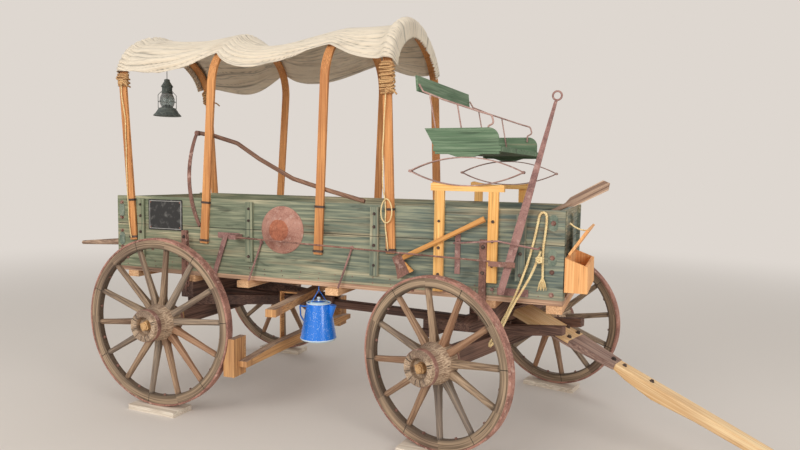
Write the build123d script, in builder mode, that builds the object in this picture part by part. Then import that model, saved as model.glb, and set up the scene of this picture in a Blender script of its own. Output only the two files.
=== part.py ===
from build123d import *
from math import asin, cos, degrees, radians, sin, tan
import os

# Covered farm wagon on four wooden wheels, as it stands parked.
# Millimetres. X points forwards, Y to the left and Z up, with the floor at Z 0.
# The origin is on the floor under the middle of the whole vehicle.

os.makedirs("parts", exist_ok=True)

# Stance
king_x = 717                    # king pin ahead of the origin
wheelbase = 2390                # king pin to rear axle
track = 1785                    # between the rims' middle planes
steer_angle = -17.4             # the front gear stands turned to the right
pad_thickness = 38              # board under each wheel
pad_length = 430
pad_width = 190
fit = 0.3                       # gap between pieces that touch
pin_fit = 0.5                   # radial clearance of a pin or a skein

# Wheels
front_wheel_radius = 559
rear_wheel_radius = 626
front_spoke_count = 12
rear_spoke_count = 14
tyre_width = 62
tyre_thickness = 14
felloe_width = 54
felloe_depth = 62
dish = 26                       # spokes stand inboard of the rim at the hub
hub_radius = 137
hub_back = 150                  # rim plane to the hub's inner end
front_hub_nose = 174            # rim plane to the hub's outer end
rear_hub_nose = 167
tenon_depth = 26
bore_back_radius = 52
bore_nose_radius = 38
nose_recess_radius = 66
nose_recess_depth = 44
nut_size = 60

# Axles, bolsters and reach
axle_width = 110
axle_height = 115
bolster_width = 110
hound_height = 75
sand_bolster_height = 88
reach_width = 75
reach_height = 60
reach_overhang = 260            # behind the rear axle
king_pin_radius = 15
bolster_overhang = 33           # bolster ends outside the box
stake_width = 48
stake_thickness = 24
front_stake_top = 1370
rear_stake_top = 1320

# Box
box_length = 3583
rear_overhang = 714             # box behind the rear axle
box_width = 1074
floor_top = 1000
floor_thickness = 33
board_thickness = 25
lower_board_height = 352
upper_board_height = 223
board_gap = 2
sill_width = 100
sill_thickness = 50
sill_reach = 60                 # sill ends outside the sides
batten_width = 62
batten_thickness = 20
gate_clearance = 5
gate_inset = 60                 # end gate ahead of the sides' rear ends
gate_lift = 400

# Bows and cover
bow_width = 64
bow_thickness = 20
bow_spring_height = 2455        # where a leg starts to bend
shoulder_radius = 330
shoulder_turn = 55              # degrees that the shoulder turns through
cover_thickness = 12
cover_edge_height = 2562
lashing_thickness = 10

# Seat
seat_skew = -4.0                # the seat has slewed on its springs
seat_x = -140                   # seat's middle from the king pin
riser_thickness = 28
crossbar_thickness = 44
crossbar_top = 1739
crossbar_hollow = 23
leaf_thickness = 7
leaf_width = 38
spring_length = 780
spring_eye_height = 1808
spring_crest = 1909
tray_thickness = 33
tray_bottom = 1945
tray_overhang = 25              # seat tray ends outside the box
back_height = 106
back_bottom = 2349
iron_radius = 6

# Brake
lever_gap = 69                  # box side to the lever's middle plane
lever_thickness = 12
rod_radius = 6
rod_gap = 88                    # box side to the brake rod's middle line
guard_gap = 103                 # box side to the guard rod's middle line

# Tongue, with lengths from its pin
tongue_slope = 21.2             # degrees down to the floor
hinge_x = 375                   # tongue pin ahead of the king pin
hinge_rise = 81.7               # tongue pin over the front axle's top
tongue_pin_radius = 14
tail_width = 250                # planks between the hounds
tail_thickness = 50
tail_reach = 240                # behind the pin
lap_start = 60                  # the planks lie over the old board from here
lap_end = 196
lap_thickness = 20
sleeve_end = 516
sleeve_thickness = 40
sleeve_front_width = 140
tongue_tip_width = 80
tongue_tip_height = 58
tip_clearance = 0.6             # tongue's tip over the floor

# Box on the front board
jockey_right = -537
jockey_left = 63
jockey_wall = 16
lid_angle = 56                  # the lid stands open, degrees above level
lid_length = 207
lid_thickness = 16

# Heights that follow
front_axle_z = pad_thickness + fit + front_wheel_radius
rear_axle_z = pad_thickness + fit + rear_wheel_radius
front_axle_top = front_axle_z + axle_height / 2
rear_axle_top = rear_axle_z + axle_height / 2
hinge_z = front_axle_top + hinge_rise
sand_bolster_bottom = front_axle_top + hound_height
sand_bolster_top = sand_bolster_bottom + sand_bolster_height
side_bottom = floor_top
board_joint = side_bottom + lower_board_height
side_top = board_joint + board_gap + upper_board_height
floor_bottom = floor_top - floor_thickness
sill_bottom = floor_bottom - sill_thickness
box_rear = -wheelbase - rear_overhang
box_front = box_rear + box_length
half_box = box_width / 2
bolster_half_length = half_box + bolster_overhang
tray_half_width = half_box + tray_overhang


def turned(frame, x, y, z):
    """Plane turned in degrees about its own axes."""
    return Plane(frame.location * Location((0, 0, 0), (x, y, z)))


# Frames: the wagon's datum lies on the floor under the king pin
wagon = Plane(origin=(king_x, 0, 0))
gear = turned(wagon, 0, 0, steer_angle)
seat = turned(Plane(origin=wagon.from_local_coords((seat_x, 0, 0))), 0, 0, seat_skew)
tongue = turned(
    Plane(origin=gear.from_local_coords((hinge_x, 0, hinge_z)), x_dir=gear.x_dir, z_dir=gear.z_dir),
    0,
    tongue_slope,
    0,
)


def level(frame, x, y, z):
    """Sketch plane seen from above, local x forwards."""
    return Plane(origin=frame.from_local_coords((x, y, z)), x_dir=frame.x_dir, z_dir=frame.z_dir)


def crosswise(frame, x, y, z):
    """Upright sketch plane across the frame, local x to the left and local y up."""
    return Plane(origin=frame.from_local_coords((x, y, z)), x_dir=frame.y_dir, z_dir=frame.x_dir)


def lengthwise(frame, x, y, z):
    """Upright sketch plane along the frame, local x forwards, local y up, facing right."""
    return Plane(origin=frame.from_local_coords((x, y, z)), x_dir=frame.x_dir, z_dir=-frame.y_dir)


def block(frame, x_span, y_span, z_span, mode=Mode.ADD):
    """Squared timber or plate between the stated faces of a frame."""
    sizes = [high - low for low, high in (x_span, y_span, z_span)]
    with Locations(level(frame, x_span[0], y_span[0], z_span[0])):
        return Box(*sizes, align=(Align.MIN, Align.MIN, Align.MIN), mode=mode)


def rod_between(frame, start, end, radius):
    """Round rod from one point of a frame to another."""
    low = Vector(*frame.from_local_coords(start))
    high = Vector(*frame.from_local_coords(end))
    run = high - low
    with Locations(Plane(origin=low, z_dir=run)):
        return Cylinder(radius, run.length, align=(Align.CENTER, Align.CENTER, Align.MIN))


def write(builder, name):
    """Label a finished piece and write it as its own file."""
    builder.part.label = name
    export_step(builder.part, f"parts/{name}.step")


def taper_radius(z):
    """Bore radius of a hub at a distance outwards from the rim plane."""
    share = (z + hub_back) / (hub_back + front_hub_nose - nose_recess_depth)
    return bore_back_radius + (bore_nose_radius - bore_back_radius) * share


# Wheels, each made about the Z axis with its nose upwards


def make_hub(spoke_count, nose):
    """Turned nave with bands, mortises, a tapered bore and a recess for the nut."""
    recess = nose - nose_recess_depth
    with BuildPart() as hub:
        with BuildSketch(Plane.XZ):
            with BuildLine():
                Polyline(
                    (taper_radius(-hub_back), -hub_back),
                    (102, -hub_back),
                    (106, -hub_back + 8),
                    (106, -118),
                    (112, -112),
                    (hub_radius - 6, -82),
                )
                Polyline(
                    (hub_radius - 6, -82),
                    (hub_radius, -dish - 22),
                    (hub_radius, -dish + 22),
                    (hub_radius - 6, 30),
                    (119, 62),
                    (115, 68),
                    (115, nose - 58),
                    (119, nose - 56),
                    (119, nose - 22),
                    (115, nose - 20),
                    (108, nose),
                    (nose_recess_radius + 8, nose),
                    (nose_recess_radius, nose - 8),
                    (nose_recess_radius, recess),
                    (taper_radius(recess), recess),
                    (taper_radius(-hub_back), -hub_back),
                )
            make_face()
        revolve(axis=Axis.Z)
        with Locations((0, 0, -dish)):
            with PolarLocations(hub_radius - tenon_depth, spoke_count):
                Box(
                    tenon_depth * 2,
                    48 + 2 * fit,
                    58 + 2 * fit,
                    align=(Align.MIN, Align.CENTER, Align.CENTER),
                    mode=Mode.SUBTRACT,
                )
    return hub


def make_spoke(radius):
    """One spoke along X, square at the hub and waisted towards the felloe."""
    felloe_inner = radius - tyre_thickness - fit - felloe_depth
    foot = hub_radius - tenon_depth + fit
    # Columns: distance from the axle, width round the wheel, width along the axle, corner chamfer
    sections = [
        (foot, 48, 58, 3),
        (hub_radius + 4, 48, 58, 3),
        (hub_radius + 60, 46, 54, 12),
        (felloe_inner - 120, 38, 44, 12),
        (felloe_inner + 12, 38, 42, 12),
    ]
    with BuildPart() as spoke:
        for near, far in zip(sections, sections[1:]):
            for distance, around, along, corner in (near, far):
                share = (distance - hub_radius - 4) / (felloe_inner - hub_radius - 4)
                shift = -dish * (1 - min(max(share, 0), 1))
                with BuildSketch(Plane(origin=(distance, 0, shift), x_dir=(0, 1, 0), z_dir=(1, 0, 0))):
                    Rectangle(around, along)
                    chamfer(vertices(), corner)
            loft(ruled=True)
    return spoke


def make_rim(radius, spoke_count):
    """Felloe ring with its spokes."""
    outer = radius - tyre_thickness - fit
    spoke = make_spoke(radius)
    with BuildPart() as rim:
        with BuildSketch(Plane.XY.offset(-felloe_width / 2)):
            Circle(outer)
            Circle(outer - felloe_depth, mode=Mode.SUBTRACT)
        extrude(amount=felloe_width)
        chamfer(rim.edges().filter_by(GeomType.CIRCLE).sort_by(SortBy.RADIUS)[:2], 6)
        with PolarLocations(0, spoke_count):
            add(spoke.part)
    return rim


def make_tyre(radius):
    """Flat iron tyre shrunk on the felloes."""
    with BuildPart() as tyre:
        with BuildSketch(Plane.XY.offset(-tyre_width / 2)):
            Circle(radius)
            Circle(radius - tyre_thickness, mode=Mode.SUBTRACT)
        extrude(amount=tyre_width)
        chamfer(tyre.edges().filter_by(GeomType.CIRCLE).sort_by(SortBy.RADIUS)[2:], 3)
    return tyre


# Columns: name, frame, x of the axle, height, side, radius, spokes, hub nose, turn of the spokes
wheels = [
    ("front_right", gear, 0, front_axle_z, -1, front_wheel_radius, front_spoke_count, front_hub_nose, 7),
    ("front_left", gear, 0, front_axle_z, 1, front_wheel_radius, front_spoke_count, front_hub_nose, 19),
    ("rear_right", wagon, -wheelbase, rear_axle_z, -1, rear_wheel_radius, rear_spoke_count, rear_hub_nose, 5),
    ("rear_left", wagon, -wheelbase, rear_axle_z, 1, rear_wheel_radius, rear_spoke_count, rear_hub_nose, 12),
]
for name, frame, axle_x, axle_z, side, radius, spokes, nose, turn in wheels:
    centre = frame.from_local_coords((axle_x, side * track / 2, axle_z))
    wheel_plane = turned(Plane(origin=centre, x_dir=frame.x_dir, z_dir=frame.y_dir * side), 0, 0, turn)
    pieces = {
        "hub": make_hub(spokes, nose),
        "spokes": make_rim(radius, spokes),
        "tyre": make_tyre(radius),
    }
    for piece, local in pieces.items():
        with BuildPart() as placed:
            with Locations(wheel_plane):
                add(local.part)
        write(placed, f"wheel_{name}_{piece}")


# Axles: a squared timber with an iron skein and nut at each end


def make_axle(frame, axle_x, axle_z, nose):
    """Axle timber across a frame, with tapered skeins that carry the hubs."""
    timber_end = track / 2 - hub_back - 22
    recess = nose - nose_recess_depth
    with BuildPart() as axle:
        block(
            frame,
            (axle_x - axle_width / 2, axle_x + axle_width / 2),
            (-timber_end, timber_end),
            (axle_z - axle_height / 2, axle_z + axle_height / 2),
        )
        for side in (-1, 1):
            # Radius and distance outwards from the rim plane
            with BuildSketch(
                Plane(
                    origin=frame.from_local_coords((axle_x, side * track / 2, axle_z)),
                    x_dir=frame.y_dir * side,
                    z_dir=frame.x_dir * side,
                )
            ):
                with BuildLine():
                    Polyline(
                        (-hub_back - 60, 0),
                        (-hub_back - 60, 60),
                        (-hub_back - 12, 66),
                        (-hub_back - 1, 66),
                        (-hub_back - 1, taper_radius(-hub_back) - pin_fit),
                        (recess, taper_radius(recess) - pin_fit),
                        (recess, 24),
                        (nose - 4, 24),
                        (nose - 4, 0),
                        (-hub_back - 60, 0),
                    )
                make_face()
            revolve(
                axis=Axis(frame.from_local_coords((axle_x, 0, axle_z)), frame.y_dir)
            )
            nut_plane = Plane(
                origin=frame.from_local_coords((axle_x, side * (track / 2 + recess + 2), axle_z)),
                x_dir=frame.x_dir,
                z_dir=frame.y_dir * side,
            )
            with BuildSketch(turned(nut_plane, 0, 0, 20)):
                Rectangle(nut_size, nut_size)
                chamfer(vertices(), 8)
            extrude(amount=28)
    return axle


with BuildPart() as front_axle:
    add(make_axle(gear, 0, front_axle_z, front_hub_nose).part)
    with Locations(level(gear, 0, 0, front_axle_z)):
        Cylinder(king_pin_radius + pin_fit, axle_height + 2, mode=Mode.SUBTRACT)
write(front_axle, "front_axle")

with BuildPart() as rear_axle:
    add(make_axle(wagon, -wheelbase, rear_axle_z, rear_hub_nose).part)
write(rear_axle, "rear_axle")

# Sand bolster: lies over the hounds, and the box turns on it
with BuildPart() as sand_bolster:
    with BuildSketch(crosswise(gear, -bolster_width / 2, 0, sand_bolster_bottom)):
        with BuildLine():
            Polyline(
                (-560, 20),
                (-420, 0),
                (420, 0),
                (560, 20),
                (560, sand_bolster_height - 22),
                (380, sand_bolster_height),
                (-380, sand_bolster_height),
                (-560, sand_bolster_height - 22),
                (-560, 20),
            )
        make_face()
    extrude(amount=bolster_width)
    with Locations(level(gear, 0, 0, sand_bolster_bottom + sand_bolster_height / 2)):
        Cylinder(king_pin_radius + pin_fit, sand_bolster_height + 2, mode=Mode.SUBTRACT)
write(sand_bolster, "sand_bolster")

# Front hounds: two timbers under the sand bolster, and the sway bar behind
hound_gap = tail_width / 2 + 6            # hound's inner face from the tongue's line
hound_width = 62
hound_front = 545
hound_top_rise = 62                       # the hounds slim down as they rise to the front
hound_bottom_rise = 78
with BuildPart() as front_hounds:
    for side in (-1, 1):
        with BuildSketch(level(gear, 0, 0, front_axle_top)):
            with BuildLine():
                Polyline(
                    (-470, side * 290),
                    (-60, side * 150),
                    (60, side * (hound_gap + 5)),
                    (hound_front, side * hound_gap),
                    (hound_front, side * (hound_gap + hound_width)),
                    (60, side * 205),
                    (-60, side * 225),
                    (-470, side * 360),
                    (-470, side * 290),
                )
            make_face()
        extrude(amount=hound_height + hound_bottom_rise)
    with BuildSketch(lengthwise(gear, 0, 400, 0)):
        with BuildLine():
            Polyline(
                (-480, front_axle_top + hound_height),
                (60, front_axle_top + hound_height),
                (hound_front, front_axle_top + hound_height + hound_top_rise),
                (hound_front, front_axle_top + hound_height + 200),
                (-480, front_axle_top + hound_height + 200),
                (-480, front_axle_top + hound_height),
            )
        make_face()
        with BuildLine():
            Polyline(
                (60, front_axle_top),
                (hound_front, front_axle_top + hound_bottom_rise),
                (hound_front, front_axle_top),
                (60, front_axle_top),
            )
        make_face()
    extrude(amount=800, mode=Mode.SUBTRACT)
    block(
        gear,
        (-470, -380),
        (-400, 400),
        (front_axle_top - 50, front_axle_top),
    )
    with Locations(lengthwise(gear, hinge_x, 0, hinge_z)):
        Cylinder(tongue_pin_radius, 2 * (hound_gap + hound_width + 12))
write(front_hounds, "front_hounds")

# Tongue: an old tapered board, with new planks lapped over its tail and a new pole in front
tongue_top = tail_thickness / 2
sleeve_bottom = tongue_top - sleeve_thickness
lap_face = tongue_top - lap_thickness
sleeve_half = tail_width / 2 - 2
with BuildPart() as tongue_middle:
    with BuildSketch(level(tongue, 0, 0, sleeve_bottom)):
        with BuildLine():
            Polyline(
                (lap_end + fit, -sleeve_half),
                (sleeve_end, -sleeve_front_width / 2),
                (sleeve_end, sleeve_front_width / 2),
                (lap_end + fit, sleeve_half),
                (lap_end + fit, -sleeve_half),
            )
        make_face()
    extrude(amount=sleeve_thickness)
    block(tongue, (lap_start, lap_end + fit), (-sleeve_half, sleeve_half), (sleeve_bottom, lap_face - fit))
write(tongue_middle, "tongue_middle")

# Pole sections, the last on the floor. Columns: from the pin, width, underside
tip_underside = tongue_top - tongue_tip_height
slope = radians(tongue_slope)
tip_reach = (hinge_z + tip_underside * cos(slope) - tip_clearance) / sin(slope)
pole_sections = [
    (sleeve_end + fit, 122, sleeve_bottom),
    (610, 122, -40),
    (800, 122, -64),
    (1070, 120, -42),
    (tip_reach, tongue_tip_width, tip_underside),
]
plank_joint = 55                          # the right plank is the wider one
with BuildPart() as tongue_pole:
    for near, far in zip(pole_sections, pole_sections[1:]):
        for distance, width, underside in (near, far):
            with BuildSketch(crosswise(tongue, distance, 0, (tongue_top + underside) / 2)):
                Rectangle(width, tongue_top - underside)
                chamfer(vertices(), 6)
        loft(ruled=True)
    for right, left in ((-tail_width / 2, plank_joint - 1), (plank_joint + 1, tail_width / 2)):
        block(tongue, (-tail_reach, lap_start - fit), (right, left), (-tongue_top, tongue_top))
        block(tongue, (lap_start - fit, lap_end), (right, left), (lap_face, tongue_top))
    with Locations(lengthwise(tongue, 0, 0, 0)):
        Cylinder(tongue_pin_radius + pin_fit, tail_width + 4, mode=Mode.SUBTRACT)
write(tongue_pole, "tongue_pole")

# Front bolster with its stakes, fixed under the box
bolster_bottom = sand_bolster_top + fit
with BuildPart() as front_bolster:
    with BuildSketch(crosswise(wagon, -bolster_width / 2, 0, 0)):
        with BuildLine():
            Polyline(
                (-bolster_half_length, bolster_bottom + 18),
                (-400, bolster_bottom),
                (400, bolster_bottom),
                (bolster_half_length, bolster_bottom + 18),
                (bolster_half_length, sill_bottom - fit),
                (-bolster_half_length, sill_bottom - fit),
                (-bolster_half_length, bolster_bottom + 18),
            )
        make_face()
    extrude(amount=bolster_width)
    for side in (-1, 1):
        inner = half_box + fit
        block(
            wagon,
            (-38 - stake_width / 2, -38 + stake_width / 2),
            sorted((side * inner, side * (inner + stake_thickness))),
            (sill_bottom - 60, front_stake_top),
        )
    with Locations(level(wagon, 0, 0, bolster_bottom - 1)):
        Cylinder(
            king_pin_radius + pin_fit,
            sill_bottom - bolster_bottom + 2,
            align=(Align.CENTER, Align.CENTER, Align.MIN),
            mode=Mode.SUBTRACT,
        )
write(front_bolster, "front_bolster")

# Rear bolster with its stakes
with BuildPart() as rear_bolster:
    rear_bolster_bottom = rear_axle_top + hound_height
    block(
        wagon,
        (-wheelbase - bolster_width / 2, -wheelbase + bolster_width / 2),
        (-bolster_half_length, bolster_half_length),
        (rear_bolster_bottom, sill_bottom - fit),
    )
    for side in (-1, 1):
        block(
            wagon,
            (-wheelbase - 36 - stake_width / 2, -wheelbase - 36 + stake_width / 2),
            sorted((side * (half_box + fit), side * (half_box + fit + stake_thickness))),
            (sill_bottom - 60, rear_stake_top),
        )
write(rear_bolster, "rear_bolster")

# Reach: pole from the king pin over the rear axle and out behind
reach_front_z = front_axle_top + hound_height / 2
reach_rear_z = rear_axle_top + hound_height / 2
reach_slope = degrees(asin((reach_rear_z - reach_front_z) / wheelbase))
reach_frame = turned(level(wagon, 0, 0, reach_front_z), 0, reach_slope, 0)
with BuildPart() as reach:
    block(
        reach_frame,
        (-wheelbase - reach_overhang, 55),
        (-reach_width / 2, reach_width / 2),
        (-reach_height / 2, reach_height / 2),
    )
    chamfer(reach.edges().filter_by(Axis(wagon.origin, reach_frame.x_dir)), 5)
    with Locations(level(wagon, 0, 0, reach_front_z)):
        Cylinder(king_pin_radius + pin_fit, 2 * reach_height, mode=Mode.SUBTRACT)
    with Locations(lengthwise(reach_frame, -wheelbase - reach_overhang + 60, 0, 0)):
        Cylinder(12, reach_width + 2, mode=Mode.SUBTRACT)
write(reach, "reach")

with BuildPart() as king_pin:
    with Locations(level(wagon, 0, 0, front_axle_z - axle_height / 2 - 20)):
        Cylinder(
            king_pin_radius,
            sill_bottom - 24 - (front_axle_z - axle_height / 2 - 20),
            align=(Align.CENTER, Align.CENTER, Align.MIN),
        )
write(king_pin, "king_pin")

# Rear hounds: from the axle's ends in to the reach
with BuildPart() as rear_hounds:
    for side in (-1, 1):
        with BuildSketch(level(wagon, 0, 0, rear_axle_top)):
            inner = reach_width / 2 + fit
            with BuildLine():
                Polyline(
                    (-wheelbase - 55, side * 420),
                    (-wheelbase + 55, side * 360),
                    (-wheelbase + 860, side * inner),
                    (-wheelbase + 1020, side * inner),
                    (-wheelbase + 1020, side * (inner + 40)),
                    (-wheelbase + 860, side * (inner + 60)),
                    (-wheelbase + 55, side * 440),
                    (-wheelbase - 55, side * 495),
                    (-wheelbase - 55, side * 420),
                )
            make_face()
        extrude(amount=hound_height)
write(rear_hounds, "rear_hounds")

# Box floor: boards with grooved joints
floor_board_count = 7
floor_board = box_width / floor_board_count
inside = half_box - board_thickness
gate_x = box_rear + gate_inset
board_x = box_front - 42                  # front board's rear face
rebate = floor_top - 4
with BuildPart() as bed_floor:
    block(wagon, (box_rear, box_front), (-half_box, half_box), (floor_bottom, floor_top))
    for index in range(1, floor_board_count):
        y = -half_box + index * floor_board
        block(wagon, (box_rear, box_front), (y - 1.5, y + 1.5), (floor_top - 5, floor_top), Mode.SUBTRACT)
    # Rebates that the end gate and the front board stand in
    for rear, front in ((box_rear, gate_x + board_thickness + gate_clearance), (board_x - fit, box_front)):
        block(wagon, (rear, front), (-inside, inside), (rebate, floor_top), Mode.SUBTRACT)
write(bed_floor, "bed_floor")

# Cross sills under the floor. Columns: middle from the king pin, reach outside the sides
sills = [
    (-wheelbase - 560, 0),
    (-wheelbase, 0),
    (-1862, sill_reach),
    (-1118, sill_reach),
    (0, 0),
    (430, 16),
]
with BuildPart() as cross_sills:
    for sill_x, reach_out in sills:
        half = half_box + reach_out
        block(
            wagon,
            (sill_x - sill_width / 2, sill_x + sill_width / 2),
            (-half, half),
            (sill_bottom, floor_bottom - fit),
        )
write(cross_sills, "cross_sills")

# Sides: a lower and an upper board each
for name, side in (("right", -1), ("left", 1)):
    with BuildPart() as side_wall:
        y_span = sorted((side * (half_box - board_thickness), side * half_box))
        block(wagon, (box_rear, box_front), y_span, (side_bottom + fit, board_joint))
        block(wagon, (box_rear, box_front), y_span, (board_joint + board_gap, side_top))
        chamfer(side_wall.edges().filter_by(Axis.X).group_by(Axis.Z)[-1], 4)
        # Cleats inside that the end gate slides between
        gate_front = gate_x + board_thickness
        for near, far in (
            (gate_x - gate_clearance - 28, gate_x - gate_clearance),
            (gate_front + gate_clearance, gate_front + gate_clearance + 28),
        ):
            block(
                wagon,
                (near, far),
                sorted((side * (inside - 24), side * inside)),
                (side_bottom + fit, side_top - 20),
            )
    write(side_wall, f"side_{name}")

# Front board with its corner posts
with BuildPart() as front_board:
    width = inside - fit
    block(wagon, (board_x, board_x + board_thickness), (-width, width), (rebate + fit, side_top - 4))
    for side in (-1, 1):
        block(
            wagon,
            (box_front - 17, box_front + 6),
            sorted((side * (width - 46), side * width)),
            (side_bottom + fit, side_top),
        )
    block(wagon, (box_front - 17, box_front - 1), (-30, 30), (side_bottom + fit, side_top - 40))
write(front_board, "front_board")

# End gate: slides up between the cleats
with BuildPart() as tail_gate:
    width = inside - gate_clearance
    block(wagon, (gate_x, gate_x + board_thickness), (-width, width), (rebate + fit, side_top - 6))
    for y in (-300, 0, 300):
        block(wagon, (gate_x - 20, gate_x), (y - 32, y + 32), (side_bottom + 40, side_top - 30))
write(tail_gate, "tail_gate")

# Battens across the side boards. Columns: middle from the king pin, bottom, top
battens = [
    (-2852, 1090, 1556),
    (-1835, 1110, 1558),
    (-814, 1076, 1557),
    (206, 1112, 1546),
]
with BuildPart() as side_battens:
    for batten_x, bottom, top in battens:
        for side in (-1, 1):
            block(
                wagon,
                (batten_x - batten_width / 2, batten_x + batten_width / 2),
                sorted((side * (half_box + fit), side * (half_box + fit + batten_thickness))),
                (bottom, top),
            )
write(side_battens, "side_battens")

# Bows: bent strips whose legs stand outside the box


def arch_points(half, spring, shoulder, turn):
    """Shoulder's middle and end, and the crown, of an arch whose arcs meet smoothly."""
    half_turn = radians(turn / 2)
    middle = (half - shoulder * (1 - cos(half_turn)), spring + shoulder * sin(half_turn))
    end = (half - shoulder * (1 - cos(2 * half_turn)), spring + shoulder * sin(2 * half_turn))
    crown_radius = end[0] / cos(2 * half_turn)
    return middle, end, (0, end[1] + crown_radius * (1 - sin(2 * half_turn)))


def arch_face(half, foot, spring, shoulder, turn):
    """Closed face of an arch: straight legs, round shoulders and a flatter crown."""
    shoulder_middle, shoulder_end, crown = arch_points(half, spring, shoulder, turn)
    with BuildSketch() as arch:
        with BuildLine():
            Line((-half, foot), (half, foot))
            Line((half, foot), (half, spring))
            ThreePointArc((half, spring), shoulder_middle, shoulder_end)
            ThreePointArc(shoulder_end, crown, (-shoulder_end[0], shoulder_end[1]))
            ThreePointArc(
                (-shoulder_end[0], shoulder_end[1]),
                (-shoulder_middle[0], shoulder_middle[1]),
                (-half, spring),
            )
            Line((-half, spring), (-half, foot))
        make_face()
    return arch.sketch


bow_inner = half_box + fit
bow_outer = bow_inner + bow_thickness
# Columns: middle from the king pin at the box top, lean backwards in degrees, foot height
bows = [
    (-2953, 4.1, 1222),
    (-2223, -3.5, 1228),
    (-1242, -1.9, 1199),
    (-703, 2.3, 1240),
]
bow_planes = []
for number, (bow_x, lean, foot) in enumerate(bows, start=1):
    bow_plane = turned(crosswise(wagon, bow_x, 0, side_top), -lean, 0, 0)
    bow_planes.append(bow_plane)
    spring = bow_spring_height - side_top
    foot_y = foot - side_top
    outer = arch_face(bow_outer, foot_y, spring, shoulder_radius + bow_thickness, shoulder_turn)
    inner = arch_face(bow_inner, foot_y - 10, spring, shoulder_radius, shoulder_turn)
    with BuildPart() as bow:
        with BuildSketch(bow_plane.offset(-bow_width / 2)):
            add(outer)
            add(inner, mode=Mode.SUBTRACT)
        extrude(amount=bow_width)
    write(bow, f"bow_{number}")

# Staples that hold the legs to the sides
staple_thickness = 5
with BuildPart() as bow_staples:
    for bow_plane, (bow_x, lean, foot) in zip(bow_planes, bows):
        for side in (-1, 1):
            for height in (side_top - 32, foot + 24):
                local_y = height - side_top
                with BuildSketch(bow_plane.offset(-bow_width / 2 - fit - staple_thickness)):
                    with Locations((side * (half_box + (bow_thickness + 2 * fit + staple_thickness) / 2 + fit), local_y)):
                        Rectangle(bow_thickness + 2 * fit + staple_thickness, 16)
                extrude(amount=bow_width + 2 * fit + 2 * staple_thickness)
                with BuildSketch(bow_plane.offset(-bow_width / 2 - fit)):
                    with Locations((side * (bow_inner + bow_thickness / 2), local_y)):
                        Rectangle(bow_thickness + 2 * fit, 20)
                extrude(amount=bow_width + 2 * fit, mode=Mode.SUBTRACT)
write(bow_staples, "bow_staples")

# Cotton cover over the bows, open at both ends
cover_rear = -3062
cover_front = -668
cover_gap = 0.8
cover_skin = bow_thickness + cover_gap + cover_thickness
cover_outer = arch_face(
    bow_inner + cover_skin, 2000, bow_spring_height, shoulder_radius + cover_skin, shoulder_turn
)
cover_inner = arch_face(
    bow_outer + cover_gap, 1990, bow_spring_height, shoulder_radius + bow_thickness + cover_gap, shoulder_turn
)
with BuildPart() as canvas_cover:
    with BuildSketch(crosswise(wagon, cover_rear, 0, 0)):
        add(cover_outer)
        add(cover_inner, mode=Mode.SUBTRACT)
        with Locations((0, cover_edge_height / 2)):
            Rectangle(2 * box_width, cover_edge_height, mode=Mode.SUBTRACT)
    extrude(amount=cover_front - cover_rear)
write(canvas_cover, "canvas_cover")

# Rope lashings round the bows' shoulders. Columns: bow, side, bottom, top
lashings = [
    (4, -1, 2335, 2545),
    (4, 1, 2470, 2545),
    (1, -1, 2455, 2545),
    (1, 1, 2425, 2545),
]


def make_lashing(number, side, bottom, top):
    """Sleeve round one bow leg between two heights."""
    bow_plane = bow_planes[number - 1]
    spring = bow_spring_height - side_top
    gap = fit
    wall = lashing_thickness
    faces = []
    for grow in (gap + wall, gap):
        faces.append(arch_face(bow_outer + grow, 0, spring, shoulder_radius + bow_thickness + grow, shoulder_turn))
        faces.append(arch_face(bow_inner - grow, -10, spring, shoulder_radius - grow, shoulder_turn))
    low, high = bottom - side_top, top - side_top
    with BuildPart() as sleeve:
        with BuildSketch(bow_plane.offset(-bow_width / 2 - gap - wall)):
            add(faces[0])
            add(faces[1], mode=Mode.SUBTRACT)
            with Locations((side * half_box, (low + high) / 2)):
                Rectangle(300, high - low, mode=Mode.INTERSECT)
        extrude(amount=bow_width + 2 * (gap + wall))
        with BuildSketch(bow_plane.offset(-bow_width / 2 - gap)):
            add(faces[2])
            add(faces[3], mode=Mode.SUBTRACT)
        extrude(amount=bow_width + 2 * gap, mode=Mode.SUBTRACT)
    return sleeve


with BuildPart() as bow_lashings:
    for lashing in lashings:
        add(make_lashing(*lashing).part)
write(bow_lashings, "bow_lashings")

# Seat risers: two posts and a crossbar on each side. Columns: rear edge, front edge, bottom
posts = [(-375, -310, 1005), (-10, 56, 1088)]
hollow_bottom = crossbar_top - crossbar_hollow
with BuildPart() as seat_risers:
    for side in (-1, 1):
        inner = half_box + fit
        for rear, front, bottom in posts:
            block(
                wagon,
                (rear, front),
                sorted((side * inner, side * (inner + riser_thickness))),
                (bottom, crossbar_top - 50),
            )
        outer = side * (inner + riser_thickness)
        with BuildSketch(lengthwise(wagon, 0, max(outer, outer - side * crossbar_thickness), 0)):
            with BuildLine():
                Polyline(
                    (-382, crossbar_top),
                    (-404, crossbar_top - 8),
                    (-404, crossbar_top - 56),
                    (90, crossbar_top - 56),
                    (90, crossbar_top - 12),
                    (68, crossbar_top - 8),
                )
                ThreePointArc((68, crossbar_top - 8), (-17, hollow_bottom + 3), (-102, hollow_bottom))
                Line((-102, hollow_bottom), (-178, hollow_bottom))
                ThreePointArc((-178, hollow_bottom), (-280, hollow_bottom + 5), (-382, crossbar_top))
            make_face()
        extrude(amount=crossbar_thickness)
write(seat_risers, "seat_risers")


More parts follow.
